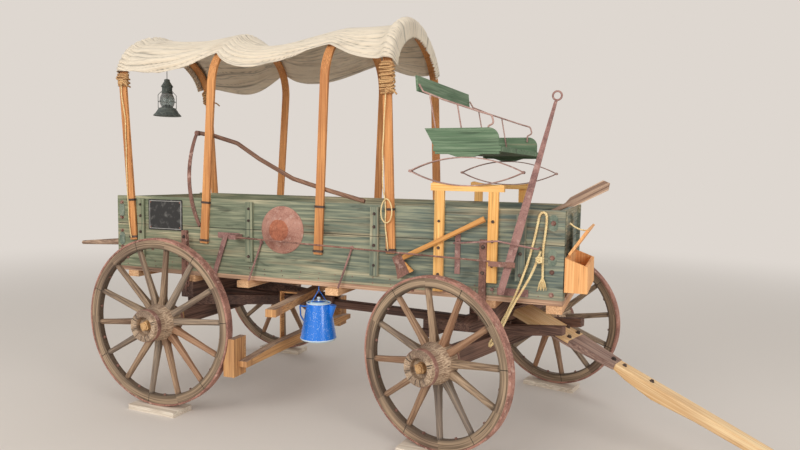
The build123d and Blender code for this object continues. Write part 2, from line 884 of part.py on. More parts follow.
def make_leaf(half_length, eye_z, middle_z, thickness):
    """Face of a curved spring leaf, seen from the side."""
    with BuildSketch() as leaf:
        with BuildLine():
            ThreePointArc((-half_length, eye_z), (0, middle_z), (half_length, eye_z))
            Line((half_length, eye_z), (half_length, eye_z + thickness))
            ThreePointArc(
                (half_length, eye_z + thickness), (0, middle_z + thickness), (-half_length, eye_z + thickness)
            )
            Line((-half_length, eye_z + thickness), (-half_length, eye_z))
        make_face()
        with Locations((-half_length, eye_z + thickness / 2), (half_length, eye_z + thickness / 2)):
            Circle(leaf_thickness + 3)
    return leaf.sketch


# Elliptic springs between the crossbars and the seat
spring_y = half_box + fit + riser_thickness - crossbar_thickness / 2
lower_leaf = make_leaf(spring_length / 2, spring_eye_height, hollow_bottom + fit, leaf_thickness)
upper_leaf = make_leaf(spring_length / 2, spring_eye_height, spring_crest - leaf_thickness, leaf_thickness)
with BuildPart() as seat_springs:
    for side in (-1, 1):
        with BuildSketch(lengthwise(seat, 0, side * spring_y + leaf_width / 2, 0)):
            add(lower_leaf)
            add(upper_leaf)
        extrude(amount=leaf_width)
write(seat_springs, "seat_springs")

# Seat tray: bottom board on two bearers, with an upright panel at each end
tray_rear = -221
tray_front = 243
panel_thickness = 14
panel_top = 2098
with BuildPart() as seat_tray:
    block(seat, (tray_rear, tray_front), (-tray_half_width, tray_half_width), (tray_bottom, tray_bottom + tray_thickness))
    for side in (-1, 1):
        with BuildSketch(lengthwise(seat, 0, side * spring_y + 15, 0)):
            with BuildLine():
                Polyline(
                    (-120, spring_crest + 18),
                    (tray_rear + 12, spring_crest + 18),
                    (tray_rear + 12, tray_bottom + 5),
                    (tray_front - 12, tray_bottom + 5),
                    (tray_front - 12, spring_crest + 18),
                    (120, spring_crest + 18),
                )
                ThreePointArc((120, spring_crest + 18), (80, spring_crest + 7), (60, spring_crest + fit))
                Line((60, spring_crest + fit), (-60, spring_crest + fit))
                ThreePointArc((-60, spring_crest + fit), (-80, spring_crest + 7), (-120, spring_crest + 18))
            make_face()
        extrude(amount=30)
        panel_y = side * (tray_half_width - panel_thickness / 2 - 2)
        with BuildSketch(lengthwise(seat, 0, panel_y + panel_thickness / 2, 0)):
            with BuildLine():
                Polyline(
                    (227, 2020),
                    (228, tray_bottom + tray_thickness),
                    (-216, tray_bottom + tray_thickness),
                    (-286, panel_top),
                    (165, panel_top),
                )
                ThreePointArc((165, panel_top), (209, 2075), (227, 2020))
            make_face()
        extrude(amount=panel_thickness)
write(seat_tray, "seat_tray")

# Seat back: one leaning board across, carried by the arm irons
back_half_width = 545
with BuildPart() as seat_back:
    with BuildSketch(turned(lengthwise(seat, -349, back_half_width, back_bottom), 0, 0, 6)):
        RectangleRounded(16, back_height, 3, align=(Align.CENTER, Align.MIN))
    extrude(amount=2 * back_half_width)
write(seat_back, "seat_back")


def bent_rod(plane, points, radii, radius):
    """Round rod along straight runs joined by arcs, on one plane."""
    with BuildPart() as rod:
        with BuildLine(plane) as path:
            FilletPolyline(*points, radius=radii)
        with BuildSketch(Plane(origin=path.line @ 0, z_dir=path.line % 0)):
            Circle(radius)
        sweep(path=path.line)
    return rod


arm_points = [(-340, 2395), (-310, 2346), (-169, 2289), (90, 2202), (172, 2178), (186, 2126), (150, 2108), (150, 2060)]
with BuildPart() as seat_irons:
    for side in (-1, 1):
        arm_y = side * (tray_half_width - 2 - panel_thickness - fit - iron_radius)
        arm = bent_rod(lengthwise(seat, 0, arm_y, 0), arm_points, [20, 20, 60, 26, 18, 14], iron_radius)
        add(arm.part)
        rod_between(seat, (-262, arm_y, 2322), (-190, arm_y, tray_bottom + tray_thickness + 1.3), iron_radius - 1)
        rod_between(seat, (-64, arm_y, 2252), (-10, arm_y, tray_bottom + tray_thickness + 1.3), iron_radius - 1)
write(seat_irons, "seat_irons")

# Brake lever with its ring, on a pin through the bottom iron
lever_y = half_box + lever_gap
rod_y = half_box + rod_gap
guard_y = half_box + guard_gap
lever_foot = (98, 1046)
lever_head = (402, 2252)
with BuildPart() as brake_lever:
    with BuildSketch(lengthwise(wagon, 0, -lever_y + lever_thickness / 2, 0)):
        with BuildLine():
            Polyline(
                (lever_foot[0] - 22, lever_foot[1]),
                (168, 1430),
                (lever_head[0] - 9, lever_head[1]),
                (lever_head[0] + 10, lever_head[1]),
                (222, 1415),
                (lever_foot[0] + 22, lever_foot[1]),
                (lever_foot[0] + 14, lever_foot[1] - 22),
                (lever_foot[0] - 14, lever_foot[1] - 22),
                (lever_foot[0] - 22, lever_foot[1]),
            )
        make_face()
    extrude(amount=lever_thickness)
    with Locations(lengthwise(wagon, 410, -lever_y, 2284)):
        Torus(27, 6)
    pin_start = -half_box - 2 * fit - 8
    with Locations(lengthwise(wagon, lever_foot[0], pin_start, lever_foot[1])):
        Cylinder(11, lever_y + 16 + pin_start, align=(Align.CENTER, Align.CENTER, Align.MIN))
write(brake_lever, "brake_lever")

# Brake rod from the bell crank to the lever
with BuildPart() as brake_rod:
    rod_between(wagon, (-1899.6, -rod_y, 1297), (24, -rod_y, 1238), rod_radius)
    block(wagon, (14, 187), (-rod_y - 3, -rod_y + 3), (1206, 1240))
write(brake_rod, "brake_rod")

# Irons bolted on the right side: bell crank, lever foot, guard rod and hooks
iron_face = half_box + fit
with BuildPart() as side_irons:
    # Bell crank plate and its long arm
    block(wagon, (-2119, -1930), (-iron_face - 8, -iron_face), (1278, 1320))
    block(wagon, (-1960, -1900), (-rod_y - 8, -iron_face - 7), (1280, 1314))
    with BuildSketch(lengthwise(wagon, 0, -iron_face - 8, 0)):
        with BuildLine():
            Polyline((-2062, 1310), (-2200, 900), (-2168, 890), (-2022, 1300), (-2062, 1310))
        make_face()
    extrude(amount=8)
    # Foot iron under the lever
    block(wagon, (60, 262), (-iron_face - 8, -iron_face), (1010, 1058))
    with Locations(lengthwise(wagon, 25, -iron_face - 7, 1043)):
        Cylinder(12, 14)
    # Upright strap beside the seat posts
    block(wagon, (-232, -196), (-iron_face - 8, -iron_face), (1130, 1400))
    # Guard rod that keeps the lever in
    rod_between(wagon, (-214, -iron_face, 1345), (-214, -guard_y, 1345), 6)
    rod_between(wagon, (-214, -guard_y, 1345), (72, -guard_y, 1373), 6)
    rod_between(wagon, (72, -guard_y, 1373), (328, -guard_y, 1335), 6)
    rod_between(wagon, (328, -guard_y, 1335), (328, -iron_face, 1335), 6)
    with Locations(level(wagon, 72, -guard_y, 1373)):
        Sphere(6)
    for x, z in ((-214, 1345), (328, 1335)):
        with Locations(level(wagon, x, -guard_y, z)):
            Sphere(6)
    # Diagonal braces on both sides, down to the long sills
    for side in (-1, 1):
        for sill_x, reach_out in sills[2:4]:
            rod_between(
                wagon,
                (sill_x + 130, side * (iron_face + 7), 1258),
                (sill_x + 40, side * (half_box + 40), floor_bottom + 2.4),
                7,
            )
            with Locations(lengthwise(wagon, sill_x + 130, side * (iron_face + 7), 1262)):
                Cylinder(13, 14)
write(side_irons, "side_irons")

# Brake beams ahead of the rear wheels, with the shoes cut to the tyres
upper_beam = turned(level(wagon, -1530, 0, rear_axle_top + hound_height + fit), 0, 0, 9.1)
beam_face = -1642
beam_depth = 70
shoe_face = beam_face - beam_depth
shoe_bottom = 337
shoe_top = 610
with BuildPart() as brake_beams:
    # The upper beam has slewed over the hounds
    block(upper_beam, (-75, 0), (-925, 800), (0, 54))
    with BuildSketch(crosswise(wagon, shoe_face, 0, 403)):
        with BuildLine():
            Polyline((-870, 0), (870, 0), (870, 42), (430, 76), (-430, 76), (-870, 42), (-870, 0))
        make_face()
    extrude(amount=beam_depth)
    for side in (-1, 1):
        # Straps from the upper beam down the back of the lower one
        strap_y = sorted((side * 240, side * 290))
        block(wagon, (shoe_face - 12, shoe_face), strap_y, (403, 851))
        block(wagon, (shoe_face - 12, -1560), strap_y, (839, 851))
        # Shoe with its hollow face 6 mm off the tyre
        with BuildSketch(lengthwise(wagon, 0, side * 851.5 + 73.5, 0)):
            with Locations(((-1800 + shoe_face) / 2, (shoe_bottom + shoe_top) / 2)):
                Rectangle(shoe_face + 1800, shoe_top - shoe_bottom)
            with Locations((-wheelbase, rear_axle_z)):
                Circle(rear_wheel_radius + 6, mode=Mode.SUBTRACT)
        extrude(amount=147)
write(brake_beams, "brake_beams")

# Jockey box on the front board, with its lid tied open
jockey_rear = box_front + 6 + fit
jockey_bottom = 1058
lid_axis_x = jockey_rear + 14.7
lid_axis_z = 1287
lid_hinges = (jockey_right + 100, jockey_left - 100)
with BuildPart() as jockey_box:
    with BuildSketch(lengthwise(wagon, 0, jockey_left, 0)):
        with BuildLine():
            Polyline(
                (jockey_rear, jockey_bottom),
                (jockey_rear + 143, jockey_bottom),
                (jockey_rear + 139, 1227),
                (jockey_rear, 1278),
                (jockey_rear, jockey_bottom),
            )
        make_face()
    extrude(amount=jockey_left - jockey_right)
    block(
        wagon,
        (jockey_rear + jockey_wall, jockey_rear + 139 - jockey_wall),
        (jockey_right + jockey_wall, jockey_left - jockey_wall),
        (jockey_bottom + jockey_wall, 1300),
        Mode.SUBTRACT,
    )
    for hinge_y in lid_hinges:
        for lug_y in (hinge_y - 23.3, hinge_y + 15.3):
            block(wagon, (lid_axis_x - 7, lid_axis_x + 7), (lug_y, lug_y + 8), (1265, lid_axis_z))
            with Locations(lengthwise(wagon, lid_axis_x, lug_y + 4, lid_axis_z)):
                Cylinder(7, 8)
        with Locations(lengthwise(wagon, lid_axis_x, hinge_y, lid_axis_z)):
            Cylinder(3, 44)
write(jockey_box, "jockey_box")

lid_frame = turned(level(wagon, lid_axis_x, 0, lid_axis_z), 0, -lid_angle, 0)
with BuildPart() as jockey_lid:
    block(lid_frame, (15, lid_length), (jockey_right, jockey_left), (-lid_thickness / 2, lid_thickness / 2))
    for hinge_y in lid_hinges:
        block(lid_frame, (0, 20), (hinge_y - 15, hinge_y + 15), (-6, 6))
        with Locations(lengthwise(lid_frame, 0, hinge_y, 0)):
            Cylinder(7, 30)
            Cylinder(3 + pin_fit, 31, mode=Mode.SUBTRACT)
write(jockey_lid, "jockey_lid")

# Paddle: its handle stands on the floor of the bed and leans over the front board
paddle_slope = radians(29)
paddle_radius = 15
paddle_edge = (board_x, side_top - 4 + (paddle_radius + fit) / cos(paddle_slope))
paddle_low = floor_top + fit + paddle_radius * cos(paddle_slope)
paddle_foot = (paddle_edge[0] - (paddle_edge[1] - paddle_low) / tan(paddle_slope), -455, paddle_low)
paddle_frame = turned(level(wagon, *paddle_foot), 0, -degrees(paddle_slope), 0)
with BuildPart() as paddle:
    with Locations(crosswise(paddle_frame, 0, 0, 0)):
        Cylinder(paddle_radius, 1260, align=(Align.CENTER, Align.CENTER, Align.MIN))
    with BuildSketch(lengthwise(paddle_frame, 0, 8, 0)):
        with BuildLine():
            Polyline(
                (1230, -14), (1275, -32), (1500, -36), (1528, 0), (1500, 36), (1275, 32), (1230, 14), (1230, -14)
            )
        make_face()
    extrude(amount=16)
write(paddle, "paddle")

# Tapered pole that stands out behind the right rear corner
with BuildPart() as tail_pole:
    pole_start = (box_rear - 1.7, -half_box + 34, 1193)
    pole_end = (box_rear - 440, -half_box + 60, 1160)
    start = Vector(*wagon.from_local_coords(pole_start))
    run = Vector(*wagon.from_local_coords(pole_end)) - start
    with Locations(Plane(origin=start, z_dir=run)):
        Cone(27, 16, run.length, align=(Align.CENTER, Align.CENTER, Align.MIN))
write(tail_pole, "tail_pole")

# Wash pan hung on the right side, bottom outwards
pan_centre = (-1555, -iron_face, 1362)
with BuildPart() as pan:
    pan_plane = lengthwise(wagon, *pan_centre)
    with BuildSketch(Plane(origin=pan_plane.origin, x_dir=pan_plane.z_dir, z_dir=-pan_plane.x_dir)):
        with BuildLine():
            Polyline(
                (0, 176),
                (4, 176),
                (58, 76),
                (58, 0),
                (54.5, 0),
                (54.5, 74),
                (3, 169),
                (0, 169),
                (0, 176),
            )
        make_face()
    revolve(axis=Axis(pan_plane.origin, pan_plane.z_dir))
write(pan, "pan")

# Axe with its handle up to the clip
axe_slope = degrees(asin((1513 - 1205) / Vector(600, 308).length))
axe_y = -iron_face - riser_thickness - fit - 12
axe_frame = turned(level(wagon, -617, axe_y, 1205), 0, -axe_slope, 0)
with BuildPart() as axe:
    for distance, width, depth in ((-40, 24, 34), (520, 24, 32), (660, 26, 40)):
        with BuildSketch(crosswise(axe_frame, distance, 0, 0)):
            Rectangle(width, depth)
            chamfer(vertices(), 8)
    loft(ruled=True)
    with BuildSketch(lengthwise(axe_frame, 0, 9, 0)):
        with BuildLine():
            Polyline(
                (-38, 34), (30, 34), (32, -30), (62, -112), (-66, -118), (-40, -30), (-38, 34)
            )
        make_face()
    extrude(amount=18)
write(axe, "axe")

# Scythe over the side's top edge, inside the bows, with its blade hanging outside
snath_radius = 16
snath_y = -half_box + snath_radius + 2
with BuildPart() as scythe:
    snath_points = [
        (-2310, 2078), (-2190, 2062), (-1960, 2000), (-1768, 1885), (-1480, 1742), (-1211, 1668), (-905, side_top + snath_radius + fit)
    ]
    snath = bent_rod(lengthwise(wagon, 0, snath_y, 0), snath_points, 90, snath_radius)
    add(snath.part)
    with BuildSketch(lengthwise(wagon, 0, -iron_face - 3, 0)):
        with BuildLine():
            ThreePointArc((-2296, 2075), (-2368, 1760), (-2278, 1368))
            Line((-2278, 1368), (-2300, 1352))
            ThreePointArc((-2300, 1352), (-2400, 1760), (-2322, 2078))
            Line((-2322, 2078), (-2296, 2075))
        make_face()
    extrude(amount=6)
    with Locations(lengthwise(wagon, -2306, snath_y - 16, 2076)):
        Cylinder(19, 34)
write(scythe, "scythe")

# Coffee pot hung by its bail under the floor's edge
pot_x, pot_y, pot_base = -1270, -500, 566
bail_turn = radians(60)
with BuildPart() as coffee_pot:
    with BuildSketch(crosswise(wagon, pot_x, pot_y, pot_base)):
        with BuildLine():
            Polyline(
                (0, 0), (128, 0), (133, 6), (133, 14), (88, 262), (90, 270), (86, 274), (81, 270), (79, 262),
                (58, 276), (0, 286), (0, 0),
            )
        make_face()
    revolve(axis=Axis(wagon.from_local_coords((pot_x, pot_y, 0)), (0, 0, 1)))
    # Lip that widens upwards, joined to the body along its back
    lip_low = Vector(*wagon.from_local_coords((pot_x + 96, pot_y, pot_base + 150)))
    lip_high = Vector(*wagon.from_local_coords((pot_x + 112, pot_y, pot_base + 262)))
    with Locations(Plane(origin=lip_low, z_dir=lip_high - lip_low)):
        Cone(9, 30, (lip_high - lip_low).length, align=(Align.CENTER, Align.CENTER, Align.MIN))
    # Bail from two ears up to a hook in the floor
    for side in (-1, 1):
        ear = (pot_x + side * 94 * cos(bail_turn), pot_y + side * 94 * sin(bail_turn), pot_base + 236)
        with Locations(level(wagon, *ear)):
            Sphere(9)
        rod_between(wagon, ear, (pot_x, pot_y, sill_bottom + 14), 3)
    rod_between(wagon, (pot_x, pot_y, sill_bottom + 12), (pot_x, pot_y, floor_bottom - fit), 4)
    # Handle behind
    grip = [(-80, 232), (-156, 232), (-150, 160), (-106, 96)]
    for (rear, low), (front, high) in zip(grip, grip[1:]):
        rod_between(wagon, (pot_x + rear, pot_y, pot_base + low), (pot_x + front, pot_y, pot_base + high), 6)
write(coffee_pot, "coffee_pot")

# Lantern hung from the rear bow's crown
crown_height = arch_points(bow_inner, bow_spring_height - side_top, shoulder_radius, shoulder_turn)[2][1]
lantern_hook = wagon.to_local_coords(bow_planes[0].from_local_coords((0, crown_height, 0)))
lantern_x = lantern_hook.X
lantern_base = 2262
guard_radius = 76
with BuildPart() as lantern:
    with BuildSketch(crosswise(wagon, lantern_x, 0, lantern_base)):
        with BuildLine():
            Polyline((0, 0), (118, 0), (118, 7), (98, 30), (78, 62), (72, 72), (50, 76))
            ThreePointArc((50, 76), (65, 140), (46, 205))
            Polyline((46, 205), (43, 214), (43, 252), (50, 258), (50, 264), (24, 306), (24, 322), (0, 330), (0, 0))
        make_face()
    revolve(axis=Axis(wagon.from_local_coords((lantern_x, 0, 0)), (0, 0, 1)))
    # Guard wires outside the globe
    for across, along in ((-1, -1), (-1, 1), (1, -1), (1, 1)):
        side_x = lantern_x + across * guard_radius / 2**0.5
        side_y = along * guard_radius / 2**0.5
        cap_x = lantern_x + across * 30
        rod_between(wagon, (side_x, side_y, lantern_base + 60), (side_x, side_y, lantern_base + 186), 2.5)
        rod_between(wagon, (side_x, side_y, lantern_base + 184), (cap_x, along * 30, lantern_base + 222), 2.5)
    rod_between(wagon, (lantern_x, 0, lantern_base + 325), (lantern_x, 0, lantern_hook.Z - 1), 3)
write(lantern, "lantern")

# Blank plate screwed on the right side
with BuildPart() as sign_plate:
    block(wagon, (-2784, -2456), (-iron_face - 6, -iron_face), (1312, 1555))
    fillet(sign_plate.edges().filter_by(Axis.Y), 10)
write(sign_plate, "sign_plate")

# Boards under the wheels. Columns: frame, x of the axle, side, turn
pads = [(gear, 0, -1, 12), (gear, 0, 1, 4), (wagon, -wheelbase, -1, -3), (wagon, -wheelbase, 1, 2)]
with BuildPart() as wheel_boards:
    for frame, axle_x, side, turn in pads:
        spot = frame.from_local_coords((axle_x, side * track / 2, 0))
        with Locations(turned(Plane(origin=spot, x_dir=frame.x_dir, z_dir=(0, 0, 1)), 0, 0, turn)):
            Box(pad_length, pad_width, pad_thickness, align=(Align.CENTER, Align.CENTER, Align.MIN))
write(wheel_boards, "wheel_boards")


# Ropes, each a tube along straight runs joined by wide arcs


def rope_tube(name, points, diameter):
    """Tube through the route's runs, with arcs as large as the runs allow."""
    spots = [Vector(*wagon.from_local_coords(point)) for point in points]
    runs = [(high - low) for low, high in zip(spots, spots[1:])]
    radii = []
    for before, after in zip(runs, runs[1:]):
        turn = radians(before.get_angle(after))
        radii.append(0.45 * min(before.length, after.length) / tan(turn / 2))
    with BuildPart() as rope:
        with BuildLine() as path:
            FilletPolyline(*spots, radius=radii)
        with BuildSketch(Plane(origin=path.line @ 0, z_dir=path.line % 0)):
            Circle(diameter / 2)
        sweep(path=path.line)
    length = sum(edge.length for edge in path.line.edges())
    print(name, "length", round(length), "radii", [round(radius) for radius in radii])
    write(rope, name)


# Columns: forwards from the king pin, to the left, up
rear_cord_points = [
    (-3013, -572.4, 2482), (-3016, -573, 2390), (-2996, -570, 2290), (-2978, -568.6, 2180), (-2982, -568, 2065),
    (-2975, -568.6, 1950), (-2979, -568, 1835), (-2972, -568.6, 1720), (-2974, -567.8, 1605), (-2964, -567.8, 1490),
    (-2962, -568.2, 1385), (-2949, -567.8, 1290), (-2940, -567.8, 1238),
]
rope_tube("rear_cord", rear_cord_points, 8)

bow_cord_points = [
    (-736, -572.8, 2362), (-738, -573.5, 2270), (-746, -571, 2165), (-748, -569.4, 2050), (-755, -570, 1935),
    (-748, -569.2, 1820), (-752, -569.8, 1710), (-730, -568.6, 1620), (-724, -568.2, 1530), (-728, -569, 1430),
    (-712, -568.6, 1340), (-704, -568.2, 1262),
]
rope_tube("bow_cord", bow_cord_points, 9)

side_rope_points = [
    (352, -553, 1140), (350, -549, 1230), (347, -547, 1330), (360, -545.8, 1430), (366, -545.8, 1520),
    (360, -545.8, 1562), (320, -545.8, 1560), (310, -545.8, 1490), (290, -547, 1380), (256, -560, 1232),
    (226, -568, 1140), (200, -570, 1058), (160, -580, 955), (107, -594, 842), (62, -605, 745), (30, -612, 692), (44, -630, 680),
    (76, -630, 730), (132, -622, 851), (176, -604, 956), (232, -586, 1062), (296, -570, 1186), (336, -566, 1316),
]
rope_tube("side_rope", side_rope_points, 16)
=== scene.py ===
"""Covered farm wagon: the finishes, cloth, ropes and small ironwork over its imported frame.

Lengths are metres in the frame's own axes: X forwards, Y to the left, Z up, floor at Z 0.
"""

import logging
import math
from dataclasses import dataclass, field, replace
from enum import Enum
from typing import Any, Iterable, Sequence

import bmesh
import bpy
import numpy as np
from mathutils import Matrix, Vector, noise


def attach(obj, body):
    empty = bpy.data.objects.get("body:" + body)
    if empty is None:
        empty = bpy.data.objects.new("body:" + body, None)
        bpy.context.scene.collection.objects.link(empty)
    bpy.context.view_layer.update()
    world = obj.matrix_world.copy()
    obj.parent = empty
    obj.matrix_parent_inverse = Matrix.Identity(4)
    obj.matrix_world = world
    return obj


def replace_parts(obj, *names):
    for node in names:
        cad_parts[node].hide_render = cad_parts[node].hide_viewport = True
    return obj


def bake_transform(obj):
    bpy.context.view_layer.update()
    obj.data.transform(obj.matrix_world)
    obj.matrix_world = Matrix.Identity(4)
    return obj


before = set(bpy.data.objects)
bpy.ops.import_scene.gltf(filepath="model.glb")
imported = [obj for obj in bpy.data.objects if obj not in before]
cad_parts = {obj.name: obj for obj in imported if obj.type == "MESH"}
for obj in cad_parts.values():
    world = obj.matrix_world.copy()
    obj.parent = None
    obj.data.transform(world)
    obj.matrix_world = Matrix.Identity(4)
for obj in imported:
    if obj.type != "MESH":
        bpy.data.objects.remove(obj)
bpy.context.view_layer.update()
log = logging.getLogger("wagon")

Colour = tuple[float, float, float, float]
Triple = tuple[float, float, float]
Duo = tuple[float, float]

# Turns and places of the front gear and the tongue, whose pin is given from the king pin
KING_X = 0.717
STEER = math.radians(-17.4)
TONGUE_SLOPE = math.radians(21.2)
TONGUE_PIN = (0.375, 0.0, 0.7365)
SEAT_SKEW = math.radians(-4.0)
# The box, its ends given from the king pin
HALF_BOX = 0.537
SIDE_FACE = HALF_BOX + 0.0003
BOX_REAR = -3.104
BOX_FRONT = 0.479
FLOOR_TOP = 1.0
BOARD_JOINT = 1.353
SIDE_TOP = 1.577
# The wheels, and the height at which the bows start to bend
TRACK = 1.785
WHEELBASE = 2.39
FRONT_AXLE = 0.5973
REAR_AXLE = 0.6643
BOW_SPRING = 2.455
# How far along the log each next board or spoke is cut
LOG_SHIFT = 3.7

UP = Vector((0, 0, 1))
RIGHT = Vector((0, -1, 0))


def tone(red: int, green: int, blue: int) -> Colour:
    """Linear colour of a display colour given as 0 to 255."""
    parts = [value / 255 for value in (red, green, blue)]
    linear = [p / 12.92 if p <= 0.04045 else ((p + 0.055) / 1.055) ** 2.4 for p in parts]
    return (*linear, 1.0)


def king(x: float, y: float, z: float) -> Vector:
    """Point given forwards from the king pin, to the left and up."""
    return Vector((KING_X + x, y, z))


def both_sides(x: float, y: float, z: float) -> list[tuple[Vector, Vector]]:
    """The same place on the right and on the left, each with the way outwards."""
    return [(king(x, side * y, z), RIGHT * -side) for side in (-1, 1)]


def gear_point(x: float, y: float, z: float) -> Vector:
    """Point of the turned front gear, given forwards from the king pin, to the left and up."""
    return Vector((KING_X, 0, 0)) + Matrix.Rotation(STEER, 3, "Z") @ Vector((x, y, z))


def tongue_point(x: float, y: float, z: float) -> Vector:
    """Point of the tongue, given forwards from its pin, to the left and up from its middle plane."""
    turned = Matrix.Rotation(TONGUE_SLOPE, 3, "Y") @ Vector((x, y, z))
    return gear_point(*(turned + Vector(TONGUE_PIN)))


def unturned(slope: float = 0.0, turn: float = 0.0) -> Triple:
    """Mapping angles that lay a sloping and turned timber along the X axis."""
    back = Matrix.Rotation(-slope, 3, "Y") @ Matrix.Rotation(-turn, 3, "Z")
    return tuple(back.to_euler())


def linked(name: str, data: bpy.types.ID) -> bpy.types.Object:
    """Makes an object of some data and links it to the scene."""
    made = bpy.data.objects.new(name, data)
    bpy.context.scene.collection.objects.link(made)
    return made


def plain_mesh(host: bpy.types.Object) -> bpy.types.Mesh:
    """Mesh that an object shows, kept while the object and its modifiers are removed."""
    graph = bpy.context.evaluated_depsgraph_get()
    mesh = bpy.data.meshes.new_from_object(host.evaluated_get(graph), depsgraph=graph)
    host.modifiers.clear()
    bpy.data.objects.remove(host)
    return mesh


def curve(name: str, kind: str, path: Sequence[Vector]) -> bpy.types.Curve:
    """Curve of one spline, straight from point to point or smooth as a NURBS."""
    line = bpy.data.curves.new(name, "CURVE")
    line.dimensions = "3D"
    line.resolution_u = 12
    spline = line.splines.new(kind)
    spline.points.add(len(path) - 1)
    for point, spot in zip(spline.points, path):
        point.co = (*spot, 1.0)
    if kind == "NURBS":
        spline.order_u = 3
        spline.use_endpoint_u = True
    return line


class Grain(Enum):
    """Axis of a piece that its wood fibres follow."""

    LENGTH = 0
    ACROSS = 1
    UPRIGHT = 2


class Wire:
    """An output socket whose arithmetic adds Math nodes to its graph."""

    def __init__(self, graph: "Graph", socket: bpy.types.NodeSocket) -> None:
        """Wraps a socket of a graph."""
        self.graph = graph
        self.socket = socket

    def maths(self, operation: str, *others: "Wire | float") -> "Wire":
        """Adds one Math node on this value and any others."""
        return self.graph.maths(operation, self, *others)

    def __add__(self, other: "Wire | float") -> "Wire":
        """Sum."""
        return self.maths("ADD", other)

    __radd__ = __add__

    def __sub__(self, other: "Wire | float") -> "Wire":
        """Difference."""
        return self.maths("SUBTRACT", other)

    def __rsub__(self, other: float) -> "Wire":
        """Difference from a number."""
        return self.graph.maths("SUBTRACT", other, self)

    def __mul__(self, other: "Wire | float") -> "Wire":
        """Product."""
        return self.maths("MULTIPLY", other)

    __rmul__ = __mul__

    def __truediv__(self, other: "Wire | float") -> "Wire":
        """Quotient."""
        return self.maths("DIVIDE", other)

    def __abs__(self) -> "Wire":
        """Size without sign."""
        return self.maths("ABSOLUTE")

    def step(self, low: float, high: float) -> "Wire":
        """Smooth step from 0 at low to 1 at high."""
        settings = {"interpolation_type": "SMOOTHSTEP"}
        return self.graph.node("ShaderNodeMapRange", settings, {0: self, 1: low, 2: high})

    def past(self, limit: float, soft: float = 0.001) -> "Wire":
        """0 before a limit and 1 past it, softened over a distance on both sides."""
        return self.step(limit - soft, limit + soft)

    def near(self, spot: float, inner: float, outer: float) -> "Wire":
        """1 within the inner distance of a spot and 0 beyond the outer one."""
        return 1 - abs(self - spot).step(inner, outer)

    def axis(self, index: int) -> "Wire":
        """One component of a vector."""
        return self.graph.node("ShaderNodeSeparateXYZ", {}, {0: self}, index)

    def moved(self, shift: Triple) -> "Wire":
        """Vector less a fixed one."""
        return self.graph.node("ShaderNodeVectorMath", {"operation": "SUBTRACT"}, {0: self, 1: shift})

    def mapped(self, scale: Triple = (1, 1, 1), turn: Triple = (0, 0, 0)) -> "Wire":
        """Vector scaled and then turned about the origin."""
        return self.graph.node("ShaderNodeMapping", {}, {0: self, 2: turn, 3: scale})

    def noise(self, scale: float, detail: float = 4.0, distortion: float = 0.0) -> "Wire":
        """Soft noise from 0 to 1 at this vector."""
        sockets = {"Vector": self, "Scale": scale, "Detail": detail, "Distortion": distortion}
        return self.graph.node("ShaderNodeTexNoise", {}, sockets)

    def streaks(self, along: float, across: float, detail: float, distortion: float = 0.0) -> "Wire":
        """Noise drawn out along the first axis."""
        return self.mapped((along, across, across)).noise(1.0, detail, distortion)


class Graph:
    """A node tree that grows by one method."""

    def __init__(self, tree: bpy.types.NodeTree) -> None:
        """Starts from an empty tree."""
        self.tree = tree
        tree.nodes.clear()

    def node(
        self,
        kind: str,
        settings: dict[str, Any] | None = None,
        sockets: dict[int | str, Any] | None = None,
        output: int | str = 0,
    ) -> Wire:
        """Adds a node.

        Args:
            kind: Blender's name of the node's type.
            settings: Its properties, set before the sockets.
            sockets: A value or a wire for each input.
            output: Which output comes back.

        Returns:
            The output, ready for more work.
        """
        made = self.tree.nodes.new(kind)
        for key, value in (settings or {}).items():
            setattr(made, key, value)
        for key, value in (sockets or {}).items():
            if isinstance(value, Wire):
                self.tree.links.new(value.socket, made.inputs[key])
            elif isinstance(value, list):
                for wire in value:
                    self.tree.links.new(wire.socket, made.inputs[key])
            else:
                made.inputs[key].default_value = value
        return Wire(self, made.outputs[output]) if made.outputs else Wire(self, made.inputs[0])

    def maths(self, operation: str, *values: Wire | float) -> Wire:
        """Adds one Math node on the given values."""
        return self.node("ShaderNodeMath", {"operation": operation}, dict(enumerate(values)))

    def vector(self, x: Wire | float, y: Wire | float, z: Wire | float) -> Wire:
        """Vector of three numbers."""
        return self.node("ShaderNodeCombineXYZ", {}, {0: x, 1: y, 2: z})


